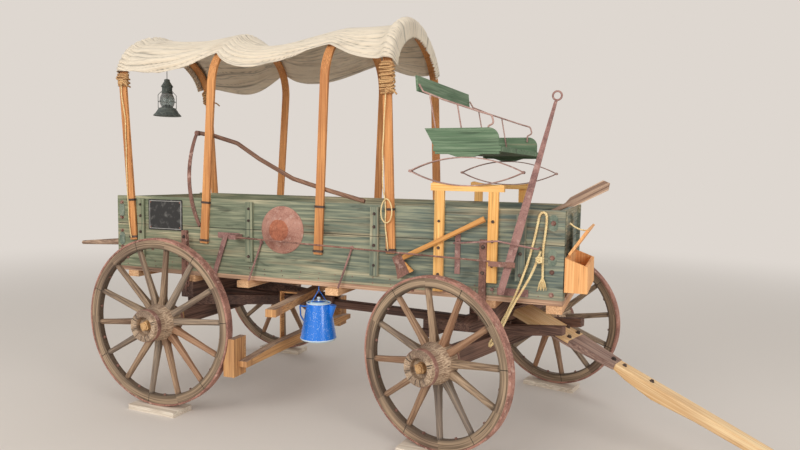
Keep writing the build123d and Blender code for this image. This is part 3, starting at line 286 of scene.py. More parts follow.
class Shader(Graph):
    """The graph of one surface finish."""

    def __init__(self, name: str) -> None:
        """Starts an empty material."""
        self.material = bpy.data.materials.new(name)
        self.material.use_nodes = True
        super().__init__(self.material.node_tree)

    def place(self) -> Wire:
        """Position on the piece, in the wagon's frame."""
        return self.node("ShaderNodeTexCoord", output="Object")

    def blend(self, share: Wire | float, first: Wire | Colour, second: Wire | Colour) -> Wire:
        """Colour between two, by a share of the second."""
        return self.node("ShaderNodeMix", {"data_type": "RGBA"}, {0: share, 6: first, 7: second}, 2)

    def between(self, share: Wire, first: Wire, second: Wire) -> Wire:
        """Vector between two, by a share of the second."""
        return self.node("ShaderNodeMix", {"data_type": "VECTOR"}, {0: share, 4: first, 5: second}, 1)

    def mix(self, share: Wire, first: Wire | float, second: Wire | float) -> Wire:
        """Number between two, by a share of the second."""
        return first + share * (second - first)

    def part(self, share: Wire, first: "Look", second: "Look") -> "Look":
        """One look where the share is 0 and another where it is 1."""
        return Look(
            self.blend(share, first.colour, second.colour),
            self.mix(share, first.roughness, second.roughness),
            self.mix(share, first.height, second.height),
            self.mix(share, first.metal, second.metal),
        )

    def shade(self, colour: Wire, share: Wire, floor: float) -> Wire:
        """Colour darkened towards a floor where the share is 1."""
        tint = self.blend(share, (1, 1, 1, 1), (floor, floor, floor, 1.0))
        settings = {"data_type": "RGBA", "blend_type": "MULTIPLY"}
        return self.node("ShaderNodeMix", settings, {0: 1.0, 6: colour, 7: tint}, 2)

    def surface(self, look: "Look", depth: float, **constants: Any) -> bpy.types.Material:
        """Ends the graph in a Principled surface.

        Args:
            look: Colour, roughness and relief.
            depth: Relief's depth in metres.
            constants: Other sockets, by name with underscores.

        Returns:
            The finished material.
        """
        relief = self.node("ShaderNodeBump", {}, {"Height": look.height, "Distance": depth, "Strength": 1.0})
        sockets = {key.replace("_", " "): value for key, value in constants.items()}
        sockets |= {"Base Color": look.colour, "Roughness": look.roughness}
        sockets |= {"Metallic": look.metal, "Normal": relief}
        surface = self.node("ShaderNodeBsdfPrincipled", {}, sockets)
        self.node("ShaderNodeOutputMaterial", {}, {"Surface": surface})
        return self.material


@dataclass(frozen=True)
class Look:
    """What a finish says of each point of a surface."""

    colour: Wire
    roughness: Wire | float
    height: Wire
    metal: Wire | float = 0.0


class Finish:
    """A surface finish that stands alone or shares a piece with another."""

    name: str
    depth: float = 0.0015

    def look(self, shader: Shader, place: Wire) -> Look:
        """Works out the finish at positions in the wagon's frame."""
        raise NotImplementedError

    def material(self) -> bpy.types.Material:
        """Builds the finish as a material."""
        shader = Shader(self.name)
        return shader.surface(self.look(shader, shader.place()), self.depth)


@dataclass(frozen=True)
class Timber(Finish):
    """Wood with growth bands, fibres, drying cracks and grime."""

    name: str
    dark: Colour
    light: Colour
    grime: Colour
    grain: Grain = Grain.LENGTH
    turn: Triple = (0.0, 0.0, 0.0)
    age: float = 1.0
    bands: float = 24.0
    board: tuple[int, float, float] = (2, 10.0, 0.0)
    upper: tuple[float, Grain] | None = None
    depth: float = 0.0016

    def look(self, shader: Shader, place: Wire) -> Look:
        """Works out the wood, each board from another part of the log."""
        place = place.mapped(turn=self.turn)
        axis, width, start = self.board
        offset = ((place.axis(axis) - start) / width).maths("FLOOR") * LOG_SHIFT
        fibres = self.along(shader, place, self.grain)
        if self.upper:
            height, grain = self.upper
            upper = self.along(shader, place, grain)
            fibres = shader.between(place.axis(2).past(height), fibres, upper)
        shifted = shader.vector(fibres.axis(0) + offset, fibres.axis(1) + offset, fibres.axis(2))
        return self.wood(shader, shifted)

    @staticmethod
    def along(shader: Shader, place: Wire, grain: Grain) -> Wire:
        """Position with its first axis along the fibres."""
        first = grain.value
        others = [index for index in range(3) if index != first]
        return shader.vector(*(place.axis(index) for index in (first, *others)))

    def wood(self, shader: Shader, place: Wire) -> Look:
        """Colour and relief of wood whose fibres follow the first axis."""
        fibre = place.streaks(3.0, 150, 6.0)
        broad = place.streaks(0.9, 9, 3.0)
        rings = place.streaks(0.5, self.bands, 2.0, 0.5) * 6.0
        growth = abs(rings.maths("FRACT") - 0.5) * 2.0
        cracks = place.streaks(1.7, 70, 4.0, 0.3).step(0.63, 0.71)
        soil = place.streaks(1.3, 5, 6.0).step(0.44, 0.7)
        mixed = fibre * 0.6 + growth * 0.22 + broad * 0.4
        colour = shader.blend(mixed.step(0.36, 0.86), self.dark, self.light)
        colour = shader.blend(soil * (0.2 + 0.5 * self.age), colour, self.grime)
        colour = shader.shade(colour, cracks * (0.25 + 0.6 * self.age), 0.25)
        height = fibre * 0.45 + growth * 0.2 - cracks * (0.3 + 0.5 * self.age) + 0.35
        return Look(colour, 0.9 - 0.18 * height, height)


@dataclass(frozen=True)
class Iron(Finish):
    """Forged iron under brown rust, with paler bloom and rubbed spots."""

    name: str
    dark: Colour
    rusty: Colour
    bloom: Colour
    rub: float = 0.1
    mottle: float = 0.7
    depth: float = 0.0012

    def look(self, shader: Shader, place: Wire) -> Look:
        """Works out the rust."""
        broad = place.noise(9.0, 5.0)
        fine = place.noise(110.0, 6.0)
        colour = shader.blend((broad * 0.7 + fine * 0.45).step(0.4, 0.72), self.dark, self.rusty)
        colour = shader.blend(place.noise(30.0, 6.0, 0.5).step(0.54, 0.72) * self.mottle, colour, self.bloom)
        rubbed = place.noise(14.0, 4.0).step(0.66 - self.rub, 0.8)
        return Look(colour, 0.84 - rubbed * 0.35, fine * 0.6 + broad * 0.4, rubbed * 0.5 + 0.08)


@dataclass(frozen=True)
class Parted(Finish):
    """Two finishes on one piece, parted by a plane across a direction."""

    name: str
    first: Finish
    second: Finish
    direction: Triple
    limit: float
    depth: float = 0.0014

    def look(self, shader: Shader, place: Wire) -> Look:
        """Works out both finishes, the second beyond the plane."""
        dot = {"operation": "DOT_PRODUCT"}
        along = shader.node("ShaderNodeVectorMath", dot, {0: place, 1: self.direction}, "Value")
        share = along.past(self.limit, 0.0015)
        return shader.part(share, self.first.look(shader, place), self.second.look(shader, place))


@dataclass(frozen=True)
class Basin(Finish):
    """A round pan's finish, one for its flat bottom and one for its wall."""

    name: str
    bottom: Finish
    wall: Finish
    middle: Duo
    radius: float
    wander: float = 0.012
    soft: float = 0.004
    depth: float = 0.0012

    def look(self, shader: Shader, place: Wire) -> Look:
        """Works out both finishes, the wall's beyond the radius."""
        across, up = place.axis(0) - self.middle[0], place.axis(2) - self.middle[1]
        reach = (across * across + up * up).maths("SQRT")
        wavy = reach + (place.noise(24.0, 4.0) * self.wander - self.wander / 2)
        share = wavy.past(self.radius, self.soft)
        return shader.part(share, self.bottom.look(shader, place), self.wall.look(shader, place))


@dataclass(frozen=True)
class Ends(Finish):
    """Axle timber with an iron skein on each end."""

    name: str
    timber: Timber
    iron: Iron
    middle: Triple
    turn: float
    reach: float
    depth: float = 0.0014

    def look(self, shader: Shader, place: Wire) -> Look:
        """Works out the timber, with iron past its reach on both sides."""
        across = abs(place.moved(self.middle).mapped(turn=(0, 0, -self.turn)).axis(1))
        share = across.past(self.reach)
        return shader.part(share, self.timber.look(shader, place), self.iron.look(shader, place))


@dataclass(frozen=True)
class WheelTimber(Finish):
    """Wood of one wheel, whose fibres follow each spoke, felloe or the nave.

    Args:
        name: Start of its materials' names.
        wood: The spokes' and felloes' wood.
        band: The iron of the nave's bands.
        centre: Middle of the wheel's rim, with how far its axle is turned, and its side, 1 on the left.
        spokes: How many there are, and first the angle of one of them.
        felloe_inner: Radius where the felloes start.
        nose: Reach of the nave outside the rim's plane.
        warm: Tone of some spokes, and cool of others.
        front_band: Radius of the nose's band, and where it starts and ends behind the nose.
        back_band: Radius of the rear band, and where it starts from the rim's plane.
        nave_dark: Dark and light tone of the nave's paler wood.
    """

    name: str
    wood: Timber
    band: Iron
    centre: Vector
    turn: float
    side: int
    spokes: int
    first: float
    felloe_inner: float
    nose: float
    warm: Colour = tone(158, 108, 76)
    cool: Colour = tone(124, 116, 110)
    nave_dark: Colour = tone(132, 104, 82)
    nave_light: Colour = tone(222, 196, 166)
    front_band: Triple = (0.1155, 0.0585, 0.0200)
    back_band: Duo = (0.1045, -0.1185)
    end_grain: float = 0.009
    felloe_shift: float = 2.3
    depth: float = 0.002

    def around(self, place: Wire) -> tuple[Wire, Wire, Wire]:
        """Distance from the axle, angle round it and distance outwards."""
        local = place.moved(tuple(self.centre)).mapped(turn=(0, 0, -self.turn))
        x, y, z = (local.axis(index) for index in range(3))
        square = x * x + z * z
        return square.maths("SQRT"), z.maths("ARCTAN2", x), y * float(self.side)

    def look(self, shader: Shader, place: Wire) -> Look:
        """Works out the spokes and felloes, with the joints between felloes and painted shade where the
        spokes meet the felloes.
        """
        radius, angle, outwards = self.around(place)
        pitch = math.tau / self.spokes
        turns = (angle - self.first) / pitch + (self.spokes * 2 + 0.5)
        number = turns.maths("FLOOR")
        across = (turns.maths("FRACT") - 0.5) * radius * pitch
        pair = turns * 0.5 + 0.25
        joint = abs(pair.maths("FRACT") - 0.5) * radius * (2 * pitch)
        rim = radius.past(self.felloe_inner)
        seam = (1 - joint.step(0.0012, 0.0035)) * rim
        spoke = shader.vector(radius + number * LOG_SHIFT, across + number, outwards)
        felloe = shader.vector(angle * radius + pair.maths("FLOOR") * self.felloe_shift, radius, outwards)
        wood = self.wood.wood(shader, shader.between(rim, spoke, felloe))
        own = shader.vector(number + self.first, rim, float(self.side))
        kind = {"noise_dimensions": "3D"}
        chance = shader.node("ShaderNodeTexWhiteNoise", kind, {"Vector": own}, "Value")
        tinted = shader.blend(chance.step(0.45, 1.0) * 0.55, wood.colour, self.warm)
        tinted = shader.blend((1 - chance.step(0.0, 0.5)) * 0.45, tinted, self.cool)
        tinted = shader.blend(rim, tinted, wood.colour)
        # Painted shade: a dark band round the felloes' inner face, where the spokes meet them.
        felloe_corner_shade = radius.near(self.felloe_inner, 0.002, 0.022) * 0.55
        colour = shader.shade(tinted, felloe_corner_shade.maths("MAXIMUM", seam), 0.12)
        return Look(colour, wood.roughness, wood.height - seam)

    def nave(self) -> bpy.types.Material:
        """Finish of the nave: fibres along the axle, checked end grain and iron bands."""
        shader = Shader(self.name + "_nave")
        place = shader.place()
        radius, angle, outwards = self.around(place)
        pale = replace(self.wood, dark=self.nave_dark, light=self.nave_light)
        wood = pale.wood(shader, shader.vector(outwards, angle * 0.13, radius))
        checks = shader.vector(angle * 5.0, radius * 4.0, outwards * 3.0)
        end = outwards.past(self.nose - self.end_grain, 0.003)
        split = checks.noise(1.6, 4.0).step(0.56, 0.68) * end
        wide, start, stop = self.front_band
        front = radius.past(wide) * outwards.past(self.nose - start, 0.0015)
        front = front * (1 - outwards.past(self.nose - stop, 0.0015))
        wide, stop = self.back_band
        back = radius.past(wide) * (1 - outwards.past(stop, 0.0015))
        band = front.maths("MAXIMUM", back)
        wood = Look(shader.shade(wood.colour, split, 0.2), wood.roughness, wood.height - split)
        return shader.surface(shader.part(band, wood, self.band.look(shader, place)), self.depth)


@dataclass(frozen=True)
class WornPaint(Finish):
    """Weathered paint over boards, worn off in streaks along the grain and at the edges."""

    name: str
    rear: Colour
    front: Colour
    chalk: Colour
    timber: Timber
    wear: float
    span: Duo = (-2.4, 1.2)
    edges: tuple[float, ...] = ()
    joints: tuple[float, ...] = ()
    edge_reach: float = 0.030
    edge_wear: float = 0.07
    depth: float = 0.0018

    def look(self, shader: Shader, place: Wire) -> Look:
        """Works out the paint over its wood."""
        wood = self.timber.look(shader, place)
        laid = self.timber.along(shader, place.mapped(turn=self.timber.turn), self.timber.grain)
        share = place.axis(0).step(*self.span)
        paint = shader.blend(share, self.rear, self.front)
        dust = laid.streaks(3.0, 60, 6.0, 0.3)
        paint = shader.blend(dust.step(0.36, 0.78) * 0.65, paint, self.chalk)
        worn = laid.streaks(1.7, 34, 8.0, 0.5) * 0.62 + laid.streaks(0.9, 4.2, 5.0) * 0.55
        for edge in self.edges:
            worn = worn + place.axis(2).near(edge, 0.0, self.edge_reach) * self.edge_wear
        bare = worn.step(0.66 - self.wear, 0.84 - self.wear)
        colour = shader.blend(bare * 0.9, paint, wood.colour)
        for joint in self.joints:
            colour = shader.shade(colour, place.axis(2).near(joint, 0.001, 0.0035), 0.12)
        colour = shader.shade(colour, laid.streaks(2.2, 90, 5.0).step(0.5, 0.7) * 0.6, 0.42)
        scuffs = laid.streaks(2.6, 11, 5.0, 0.6).step(0.60, 0.7)
        colour = shader.shade(colour, scuffs * 0.7, 0.35)
        return Look(colour, 0.86 - 0.12 * wood.height, wood.height - bare * 0.3)


@dataclass(frozen=True)
class Placard(Finish):
    """Blank board under dull black paint, with a thin pale line inside its edge."""

    name: str
    paint: Colour
    line: Colour
    low: Duo
    high: Duo
    inset: float = 0.012
    depth: float = 0.0004

    def look(self, shader: Shader, place: Wire) -> Look:
        """Works out the paint and its border line."""
        x, z = place.axis(0), place.axis(2)
        wide = (x - self.low[0]).maths("MINIMUM", self.high[0] - x)
        tall = (z - self.low[1]).maths("MINIMUM", self.high[1] - z)
        line = wide.maths("MINIMUM", tall).near(self.inset, 0.0012, 0.0022)
        dust = place.noise(22.0, 6.0).step(0.5, 0.8)
        colour = shader.blend(dust * 0.25 + line * 0.85, self.paint, self.line)
        return Look(colour, 0.5 + dust * 0.2, place.noise(160.0, 3.0))


class Cloth(Finish):
    """Cotton duck: a plain weave with slubs, hand creases and faint soil, with painted shade in the valleys
    of its creases and folds.
    """

    name = "cotton_duck"
    light = tone(234, 221, 200)
    soil = tone(182, 160, 134)
    thread = 0.0016
    depth = 0.006

    def material(self) -> bpy.types.Material:
        """Builds the finish on the sheet's own UV map, which is in metres."""
        shader = Shader(self.name)
        chart = shader.node("ShaderNodeTexCoord", output="UV")
        turns = math.pi / self.thread
        warp, weft = (abs((chart.axis(index) * turns).maths("SINE")) for index in (0, 1))
        slub = chart.streaks(12, 180, 3.0)
        creases = chart.streaks(3.2, 24, 7.0, 1.1)
        spots = chart.noise(3.2, 6.0).step(0.5, 0.78)
        colour = shader.blend(spots * 0.4 + slub * 0.2, self.light, self.soil)
        fold_valley_shade = shader.node("ShaderNodeAttribute", {"attribute_name": "crease"}, {}, "Fac")
        # Painted shade: the colour darkens in the valleys of the noise creases and of the sheet's folds.
        dark = (1 - creases.step(0.30, 0.46)) * 0.35 + fold_valley_shade.step(0.08, 0.85) * 0.75
        colour = shader.shade(colour, dark, 0.34)
        height = creases * 0.85 + warp.maths("MAXIMUM", weft) * 0.1 + slub * 0.1
        look = Look(colour, 0.92, height)
        return shader.surface(look, self.depth, Sheen_Weight=0.2, Sheen_Roughness=0.5)


@dataclass(frozen=True)
class Fibre(Finish):
    """Twisted fibre rope."""

    name: str
    light: Colour
    dark: Colour
    depth: float = 0.0012

    def look(self, shader: Shader, place: Wire) -> Look:
        """Works out the hairs and the soil."""
        hairs = place.mapped((260, 260, 90)).noise(1.0, 5.0)
        share = (hairs * 0.8 + place.noise(16.0, 4.0) * 0.4).step(0.4, 0.8)
        return Look(shader.blend(share, self.dark, self.light), 0.93, hairs)


@dataclass(frozen=True)
class Enamel(Finish):
    """Fired enamel on sheet iron, speckled, pale at its rims and chipped to dark iron."""

    name: str
    body: Colour
    speck: Colour
    chip: Colour
    rims: tuple[Duo, ...] = ()
    depth: float = 0.0005

    def material(self) -> bpy.types.Material:
        """Builds the finish under its own gloss."""
        shader = Shader(self.name)
        place = shader.place()
        sockets = {"Vector": place, "Scale": 120.0, "Randomness": 1.0}
        cells = shader.node("ShaderNodeTexVoronoi", {}, sockets)
        flecks = (1 - cells.step(0.18, 0.3)) * place.noise(34.0, 3.0).step(0.40, 0.6)
        chips = place.noise(26.0, 6.0).step(0.70, 0.72)
        pale = flecks * 0.8
        for low, high in self.rims:
            band = place.axis(2).past(low) * (1 - place.axis(2).past(high))
            pale = pale.maths("MAXIMUM", band)
        colour = shader.blend(pale, self.body, self.speck)
        colour = shader.blend(chips, colour, self.chip)
        look = Look(colour, 0.2 + chips * 0.6, 1 - chips)
        return shader.surface(look, self.depth, Coat_Weight=0.5, Coat_Roughness=0.08)


@dataclass(frozen=True)
class Glass:
    """Clear lantern glass with a smoked top."""

    name: str
    top: float
    smoked: float = 0.06

    def material(self) -> bpy.types.Material:
        """Builds the finish as a mix of a clear and a glossy surface."""
        shader = Shader(self.name)
        smoke = shader.place().axis(2).step(self.top - self.smoked, self.top)
        clear = shader.node("ShaderNodeBsdfTransparent", {}, {"Color": (0.86, 0.9, 0.89, 1)})
        sockets = {"Base Color": tone(150, 150, 150), "Roughness": 0.08, "Specular IOR Level": 0.8}
        soot = shader.node("ShaderNodeBsdfPrincipled", {}, sockets)
        gloss = shader.node("ShaderNodeLayerWeight", {}, {"Blend": 0.35}, "Facing")
        share = gloss * 0.45 + smoke * 0.3 + 0.22
        mixed = shader.node("ShaderNodeMixShader", {}, {0: share, 1: clear, 2: soot})
        shader.node("ShaderNodeOutputMaterial", {}, {"Surface": mixed})
        return shader.material


def wear(nodes: Iterable[str], material: bpy.types.Material) -> None:
    """Gives CAD nodes a finish on their material slots."""
    for name in nodes:
        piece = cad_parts[name]
        if not piece.material_slots:
            piece.data.materials.append(material)
        for slot in piece.material_slots:
            slot.material = material


@dataclass
class Studio:
    """Camera at the photograph's place, soft lamps and a pale floor.

    Args:
        eye: The camera's place, with its yaw, pitch and roll in radians.
        frame_width: The picture's width, focal length and middle's drop in pixels, and the sensor's width.
        floor_tone: The floor near the wagon, and backdrop_tone all that lies behind it.
        sky: Colour of the light from all round, and world_level its strength.
        fade: Distances over which the floor turns into the backdrop, and floor_reach its half width.
        aim: Where every lamp points, and lamps their name, place, size, power and colour.
    """

    eye: Triple = (1.627, -4.6821, 1.7869)
    yaw: float = -0.3555
    pitch: float = -0.0793
    roll: float = 0.0173
    frame_width: int = 800
    focal_pixels: float = 644.0
    drop_pixels: float = 0.5
    sensor: float = 36.0
    floor_tone: Colour = field(default_factory=lambda: tone(216, 208, 200))
    backdrop_tone: Colour = field(default_factory=lambda: tone(222, 215, 208))
    sky: Colour = (1.0, 0.99, 0.97, 1.0)
    world_level: float = 0.58
    fade: Duo = (4.0, 13.0)
    floor_reach: float = 40.0
    backdrop_rays: tuple[str, ...] = ("Is Camera Ray", "Is Glossy Ray", "Is Transmission Ray")
    aim: Triple = (0.0, 0.0, 1.3)
    lamps: Sequence[tuple[str, Triple, float, float, Triple]] = (
        ("key", (-2.0, -8.0, 4.6), 5.0, 400, (1.0, 0.98, 0.95)),
        ("side", (7.0, -4.5, 3.4), 3.5, 200, (1.0, 0.98, 0.96)),
        ("back", (-1.0, 6.5, 5.0), 4.5, 90, (0.97, 0.98, 1.0)),
    )

    def camera(self) -> None:
        """Places the camera."""
        flat = math.cos(self.pitch)
        ahead = Vector((math.sin(self.yaw) * flat, math.cos(self.yaw) * flat, math.sin(self.pitch)))
        level = Vector((math.cos(self.yaw), -math.sin(self.yaw), 0))
        rise = level.cross(ahead)
        right = math.cos(self.roll) * level + math.sin(self.roll) * rise
        up = -math.sin(self.roll) * level + math.cos(self.roll) * rise
        data = bpy.data.cameras.new("camera")
        data.sensor_width = self.sensor
        data.lens = self.focal_pixels * self.sensor / self.frame_width
        data.shift_y = self.drop_pixels / self.frame_width
        camera = linked("camera", data)
        turn = Matrix((right, up, -ahead)).transposed().to_4x4()
        camera.matrix_world = Matrix.Translation(self.eye) @ turn
        bpy.context.scene.camera = camera

    def lamp(self, name: str, spot: Triple, size: float, power: float, colour: Triple) -> None:
        """Hangs a square soft lamp that faces the wagon."""
        data = bpy.data.lights.new(name, "AREA")
        data.size = size
        data.energy = power
        data.color = colour
        lamp = linked(name, data)
        lamp.location = spot
        lamp.rotation_euler = (Vector(self.aim) - Vector(spot)).to_track_quat("-Z", "Y").to_euler()

    def shown(self, graph: Graph) -> Wire:
        """1 for the rays that show the background itself or its reflection."""
        rays = [graph.node("ShaderNodeLightPath", output=kind) for kind in self.backdrop_rays]
        return rays[0].maths("MAXIMUM", rays[1]).maths("MAXIMUM", rays[2])

    def floor(self) -> None:
        """Lays the floor, which turns into the backdrop far off."""
        shader = Shader("studio_floor")
        sockets = {"Base Color": self.floor_tone, "Roughness": 0.9}
        surface = shader.node("ShaderNodeBsdfPrincipled", {}, sockets)
        glow = shader.node("ShaderNodeEmission", {}, {"Color": self.backdrop_tone, "Strength": 1.0})
        far = shader.node("ShaderNodeVectorMath", {"operation": "LENGTH"}, {0: shader.place()}, "Value")
        share = far.step(*self.fade) * self.shown(shader)
        mixed = shader.node("ShaderNodeMixShader", {}, {0: share, 1: surface, 2: glow})
        shader.node("ShaderNodeOutputMaterial", {}, {"Surface": mixed})
        mesh = bpy.data.meshes.new("floor")
        reach = self.floor_reach
        corners = [(x * reach, y * reach, 0) for x, y in ((-1, -1), (1, -1), (1, 1), (-1, 1))]
        mesh.from_pydata(corners, [], [(0, 1, 2, 3)])
        mesh.materials.append(shader.material)
        linked("floor", mesh)

    def world(self) -> None:
        """Sets the light from all round, and the backdrop that is seen in its place."""
        world = bpy.data.worlds.new("world")
        world.use_nodes = True
        graph = Graph(world.node_tree)
        shown = self.shown(graph)
        sockets = {0: shown, 6: self.sky, 7: self.backdrop_tone}
        sky = graph.node("ShaderNodeMix", {"data_type": "RGBA"}, sockets, 2)
        level = self.world_level + shown * (1.0 - self.world_level)
        light = graph.node("ShaderNodeBackground", {}, {"Color": sky, "Strength": level})
        graph.node("ShaderNodeOutputWorld", {}, {"Surface": light})
        bpy.context.scene.world = world

    def build(self) -> None:
        """Sets up the whole studio."""
        self.camera()
        for facts in self.lamps:
            self.lamp(*facts)
        self.floor()
        self.world()
        bpy.context.scene.view_settings.view_transform = "Standard"


class Piece:
    """Gathers mesh parts in the wagon's frame and makes one object of them."""

    def __init__(self, name: str, body: str, slot: str, material: bpy.types.Material) -> None:
        """Starts an empty piece that will ride on a body."""
        self.name = name
        self.body = body
        self.slot = slot
        self.material = material
        self.points: list[Vector] = []
        self.faces: list[list[int]] = []

    def add(self, points: Sequence[Vector], faces: Iterable[Sequence[int]]) -> None:
        """Adds a closed part."""
        start = len(self.points)
        self.points += [Vector(point) for point in points]
        self.faces += [[start + index for index in face] for face in faces]

    def rings(self, rows: Sequence[Sequence[Vector]], closed: bool = False) -> None:
        """Joins rings of points into a tube, with its ends capped unless it is closed."""
        count, size = len(rows), len(rows[0])
        faces: list[list[int]] = []
        for row in range(count if closed else count - 1):
            near, far = row * size, (row + 1) % count * size
            for index in range(size):
                side = (index + 1) % size
                faces.append([near + index, near + side, far + side, far + index])
        if not closed:
            faces.append(list(range(size))[::-1])
            faces.append(list(range((count - 1) * size, count * size)))
        self.add([point for row in rows for point in row], faces)

    def tube(self, path: Sequence[Vector], radius: float, sides: int = 8, closed: bool = False) -> None:
        """Round rod along a path."""
        section = [circle_point(radius, angle)[:2] for angle in angles(sides)]
        self.rings(sweep(path, section, closed), closed)

    def lathe(self, origin: Vector, axis: Vector, profile: Sequence[Duo], sides: int) -> None:
        """Closed turned shape from radius and height pairs along an axis."""
        turn = axis.to_track_quat("Z", "Y").to_matrix()
        rows = [
            [origin + turn @ (circle_point(radius, angle) + UP * height) for angle in angles(sides)]
            for radius, height in profile
        ]
        self.rings(rows)

    def turned_wall(
        self, origin: Vector, axis: Vector, profile: Sequence[Duo], sides: int
    ) -> None:
        """Turned wall whose closed profile keeps clear of its axis."""
        turn = axis.to_track_quat("Z", "Y").to_matrix()
        rows = [
            [origin + turn @ (circle_point(radius, angle) + UP * height) for radius, height in profile]
            for angle in angles(sides)
        ]
        self.rings(rows, closed=True)

    def hoop(self, middle: Vector, radius: float, wire: float, count: int, sides: int) -> None:
        """Level ring of round wire, of a count of straight lengths."""
        path = [middle + circle_point(radius, angle) for angle in angles(count)]
        self.tube(path, wire, sides, True)

    def plate(self, outline: Sequence[Duo], thickness: float, place: Matrix) -> None:
        """Flat shape cut from plate, extruded upwards from its place."""
        rows = [[place @ Vector((x, y, z)) for x, y in outline] for z in (0.0, thickness)]
        self.rings(rows)

    def make(self, sharp: float = 35.0) -> bpy.types.Object:
        """Makes the object, with its faces outwards, and lets it ride."""
        mesh = bpy.data.meshes.new(self.name)
        mesh.from_pydata(self.points, [], self.faces)
        work = bmesh.new()
        work.from_mesh(mesh)
        bmesh.ops.recalc_face_normals(work, faces=work.faces)
        work.to_mesh(mesh)
        work.free()
        mesh.shade_smooth()
        mesh.set_sharp_from_angle(angle=math.radians(sharp))
        return place_piece(self.name, mesh, self.body, self.slot, self.material)


def place_piece(
    name: str, mesh: bpy.types.Mesh, body: str, slot: str, material: bpy.types.Material
) -> bpy.types.Object:
    """Links a mesh as a piece that rides on a body with a finish."""
    if not mesh.materials:
        mesh.materials.append(material)
    piece = linked(name, mesh)
    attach(piece, body)
    log.info("%s: %d faces on %s", name, len(mesh.polygons), body)
    return piece


def bent(start: Vector, middle: Vector, end: Vector, count: int) -> list[Vector]:
    """Points of a curve from start to end that is drawn towards a middle."""
    return [start.lerp(middle, t).lerp(middle.lerp(end, t), t) for t in np.linspace(0, 1, count)]


def angles(count: int) -> list[float]:
    """Even angles of one turn."""
    return [math.tau * index / count for index in range(count)]


def circle_point(radius: float, angle: float) -> Vector:
    """Point of a level circle about the origin."""
    return Vector((math.cos(angle) * radius, math.sin(angle) * radius, 0))


def sweep(
    path: Sequence[Vector], section: Sequence[Duo], closed: bool = False
) -> list[list[Vector]]:
    """Rings of a section carried along a path without twisting."""
    rows: list[list[Vector]] = []
    count = len(path)
    side = None
    for index, spot in enumerate(path):
        before = path[index - 1] if index or closed else spot
        after = path[(index + 1) % count] if index < count - 1 or closed else spot
        ahead = (after - before).normalized()
        if side is None:
            side = ahead.orthogonal()
        side = (side - side.project(ahead)).normalized()
        up = ahead.cross(side)
        rows.append([spot + side * x + up * y for x, y in section])
    return rows


class Tree:
    """A geometry-nodes tree with named inputs, which leaves a plain mesh."""

    def __init__(self, name: str, inputs: dict[str, str]) -> None:
        """Starts the tree.

        Args:
            name: Its name.
            inputs: Kind of socket by input name, the geometry first.
        """
        self.tree = bpy.data.node_groups.new(name, "GeometryNodeTree")
        face = self.tree.interface
        sockets = [
            face.new_socket(key, in_out="INPUT", socket_type="NodeSocket" + kind)
            for key, kind in inputs.items()
        ]
        face.new_socket("Result", in_out="OUTPUT", socket_type="NodeSocketGeometry")
        self.identifiers = {socket.name: socket.identifier for socket in sockets}
        self.graph = Graph(self.tree)
        given = self.tree.nodes.new("NodeGroupInput")
        self.wires = {key: Wire(self.graph, given.outputs[key]) for key in inputs}

    def end(self, geometry: Wire, finish: Wire) -> None:
        """Ends in real geometry with its finish."""
        whole = self.graph.node("GeometryNodeRealizeInstances", {}, {"Geometry": geometry})
        dressed = self.graph.node("GeometryNodeSetMaterial", {}, {"Geometry": whole, "Material": finish})
        self.graph.node("NodeGroupOutput", {}, {0: dressed})

    def grow(self, name: str, data: bpy.types.ID, **values: Any) -> bpy.types.Mesh:
        """Runs the tree on some data and keeps the plain mesh that it makes."""
        host = linked(name + "_host", data)
        modifier = host.modifiers.new("tree", "NODES")
        modifier.node_group = self.tree
        for key, value in values.items():
            modifier[self.identifiers[key]] = value
        mesh = plain_mesh(host)
        mesh.name = name
        return mesh


class Lay(Tree):
    """Lays three twisted strands along a curve."""

    def __init__(self) -> None:
        """Builds the tree."""
        kinds = {"Path": "Geometry", "Diameter": "Float", "Pitch": "Float", "Finish": "Material"}
        super().__init__("rope_lay", kinds)
        graph, diameter, pitch = self.graph, self.wires["Diameter"], self.wires["Pitch"]
        sockets = {"Curve": self.wires["Path"], "Length": pitch * 0.14}
        even = graph.node("GeometryNodeResampleCurve", {"mode": "LENGTH"}, sockets)
        tilt = graph.node("GeometryNodeSplineParameter", output="Length") / pitch * math.tau
        tilted = graph.node("GeometryNodeSetCurveTilt", {}, {"Curve": even, "Tilt": tilt})
        sockets = {"Resolution": 12, "Radius": 1.0}
        ring = graph.node("GeometryNodeCurvePrimitiveCircle", {"mode": "RADIUS"}, sockets)
        turn = graph.node("GeometryNodeInputIndex") * (math.tau / 4)
        reach = diameter * (0.50 + turn.maths("COSINE") * 0.08)
        spot = graph.node("GeometryNodeInputPosition")
        grown = graph.node("ShaderNodeVectorMath", {"operation": "SCALE"}, {0: spot, "Scale": reach})
        section = graph.node("GeometryNodeSetPosition", {}, {"Geometry": ring, "Position": grown})
        sockets = {"Curve": tilted, "Profile Curve": section, "Fill Caps": True}
        rope = graph.node("GeometryNodeCurveToMesh", {}, sockets)
        self.end(rope, self.wires["Finish"])

    def mesh(
        self, name: str, path: Sequence[Vector], diameter: float, pitch: float, material: bpy.types.Material
    ) -> bpy.types.Mesh:
        """Mesh of a rope along a path of points."""
        line = curve(name + "_line", "POLY", path)
        return self.grow(name, line, Diameter=diameter, Pitch=pitch, Finish=material)


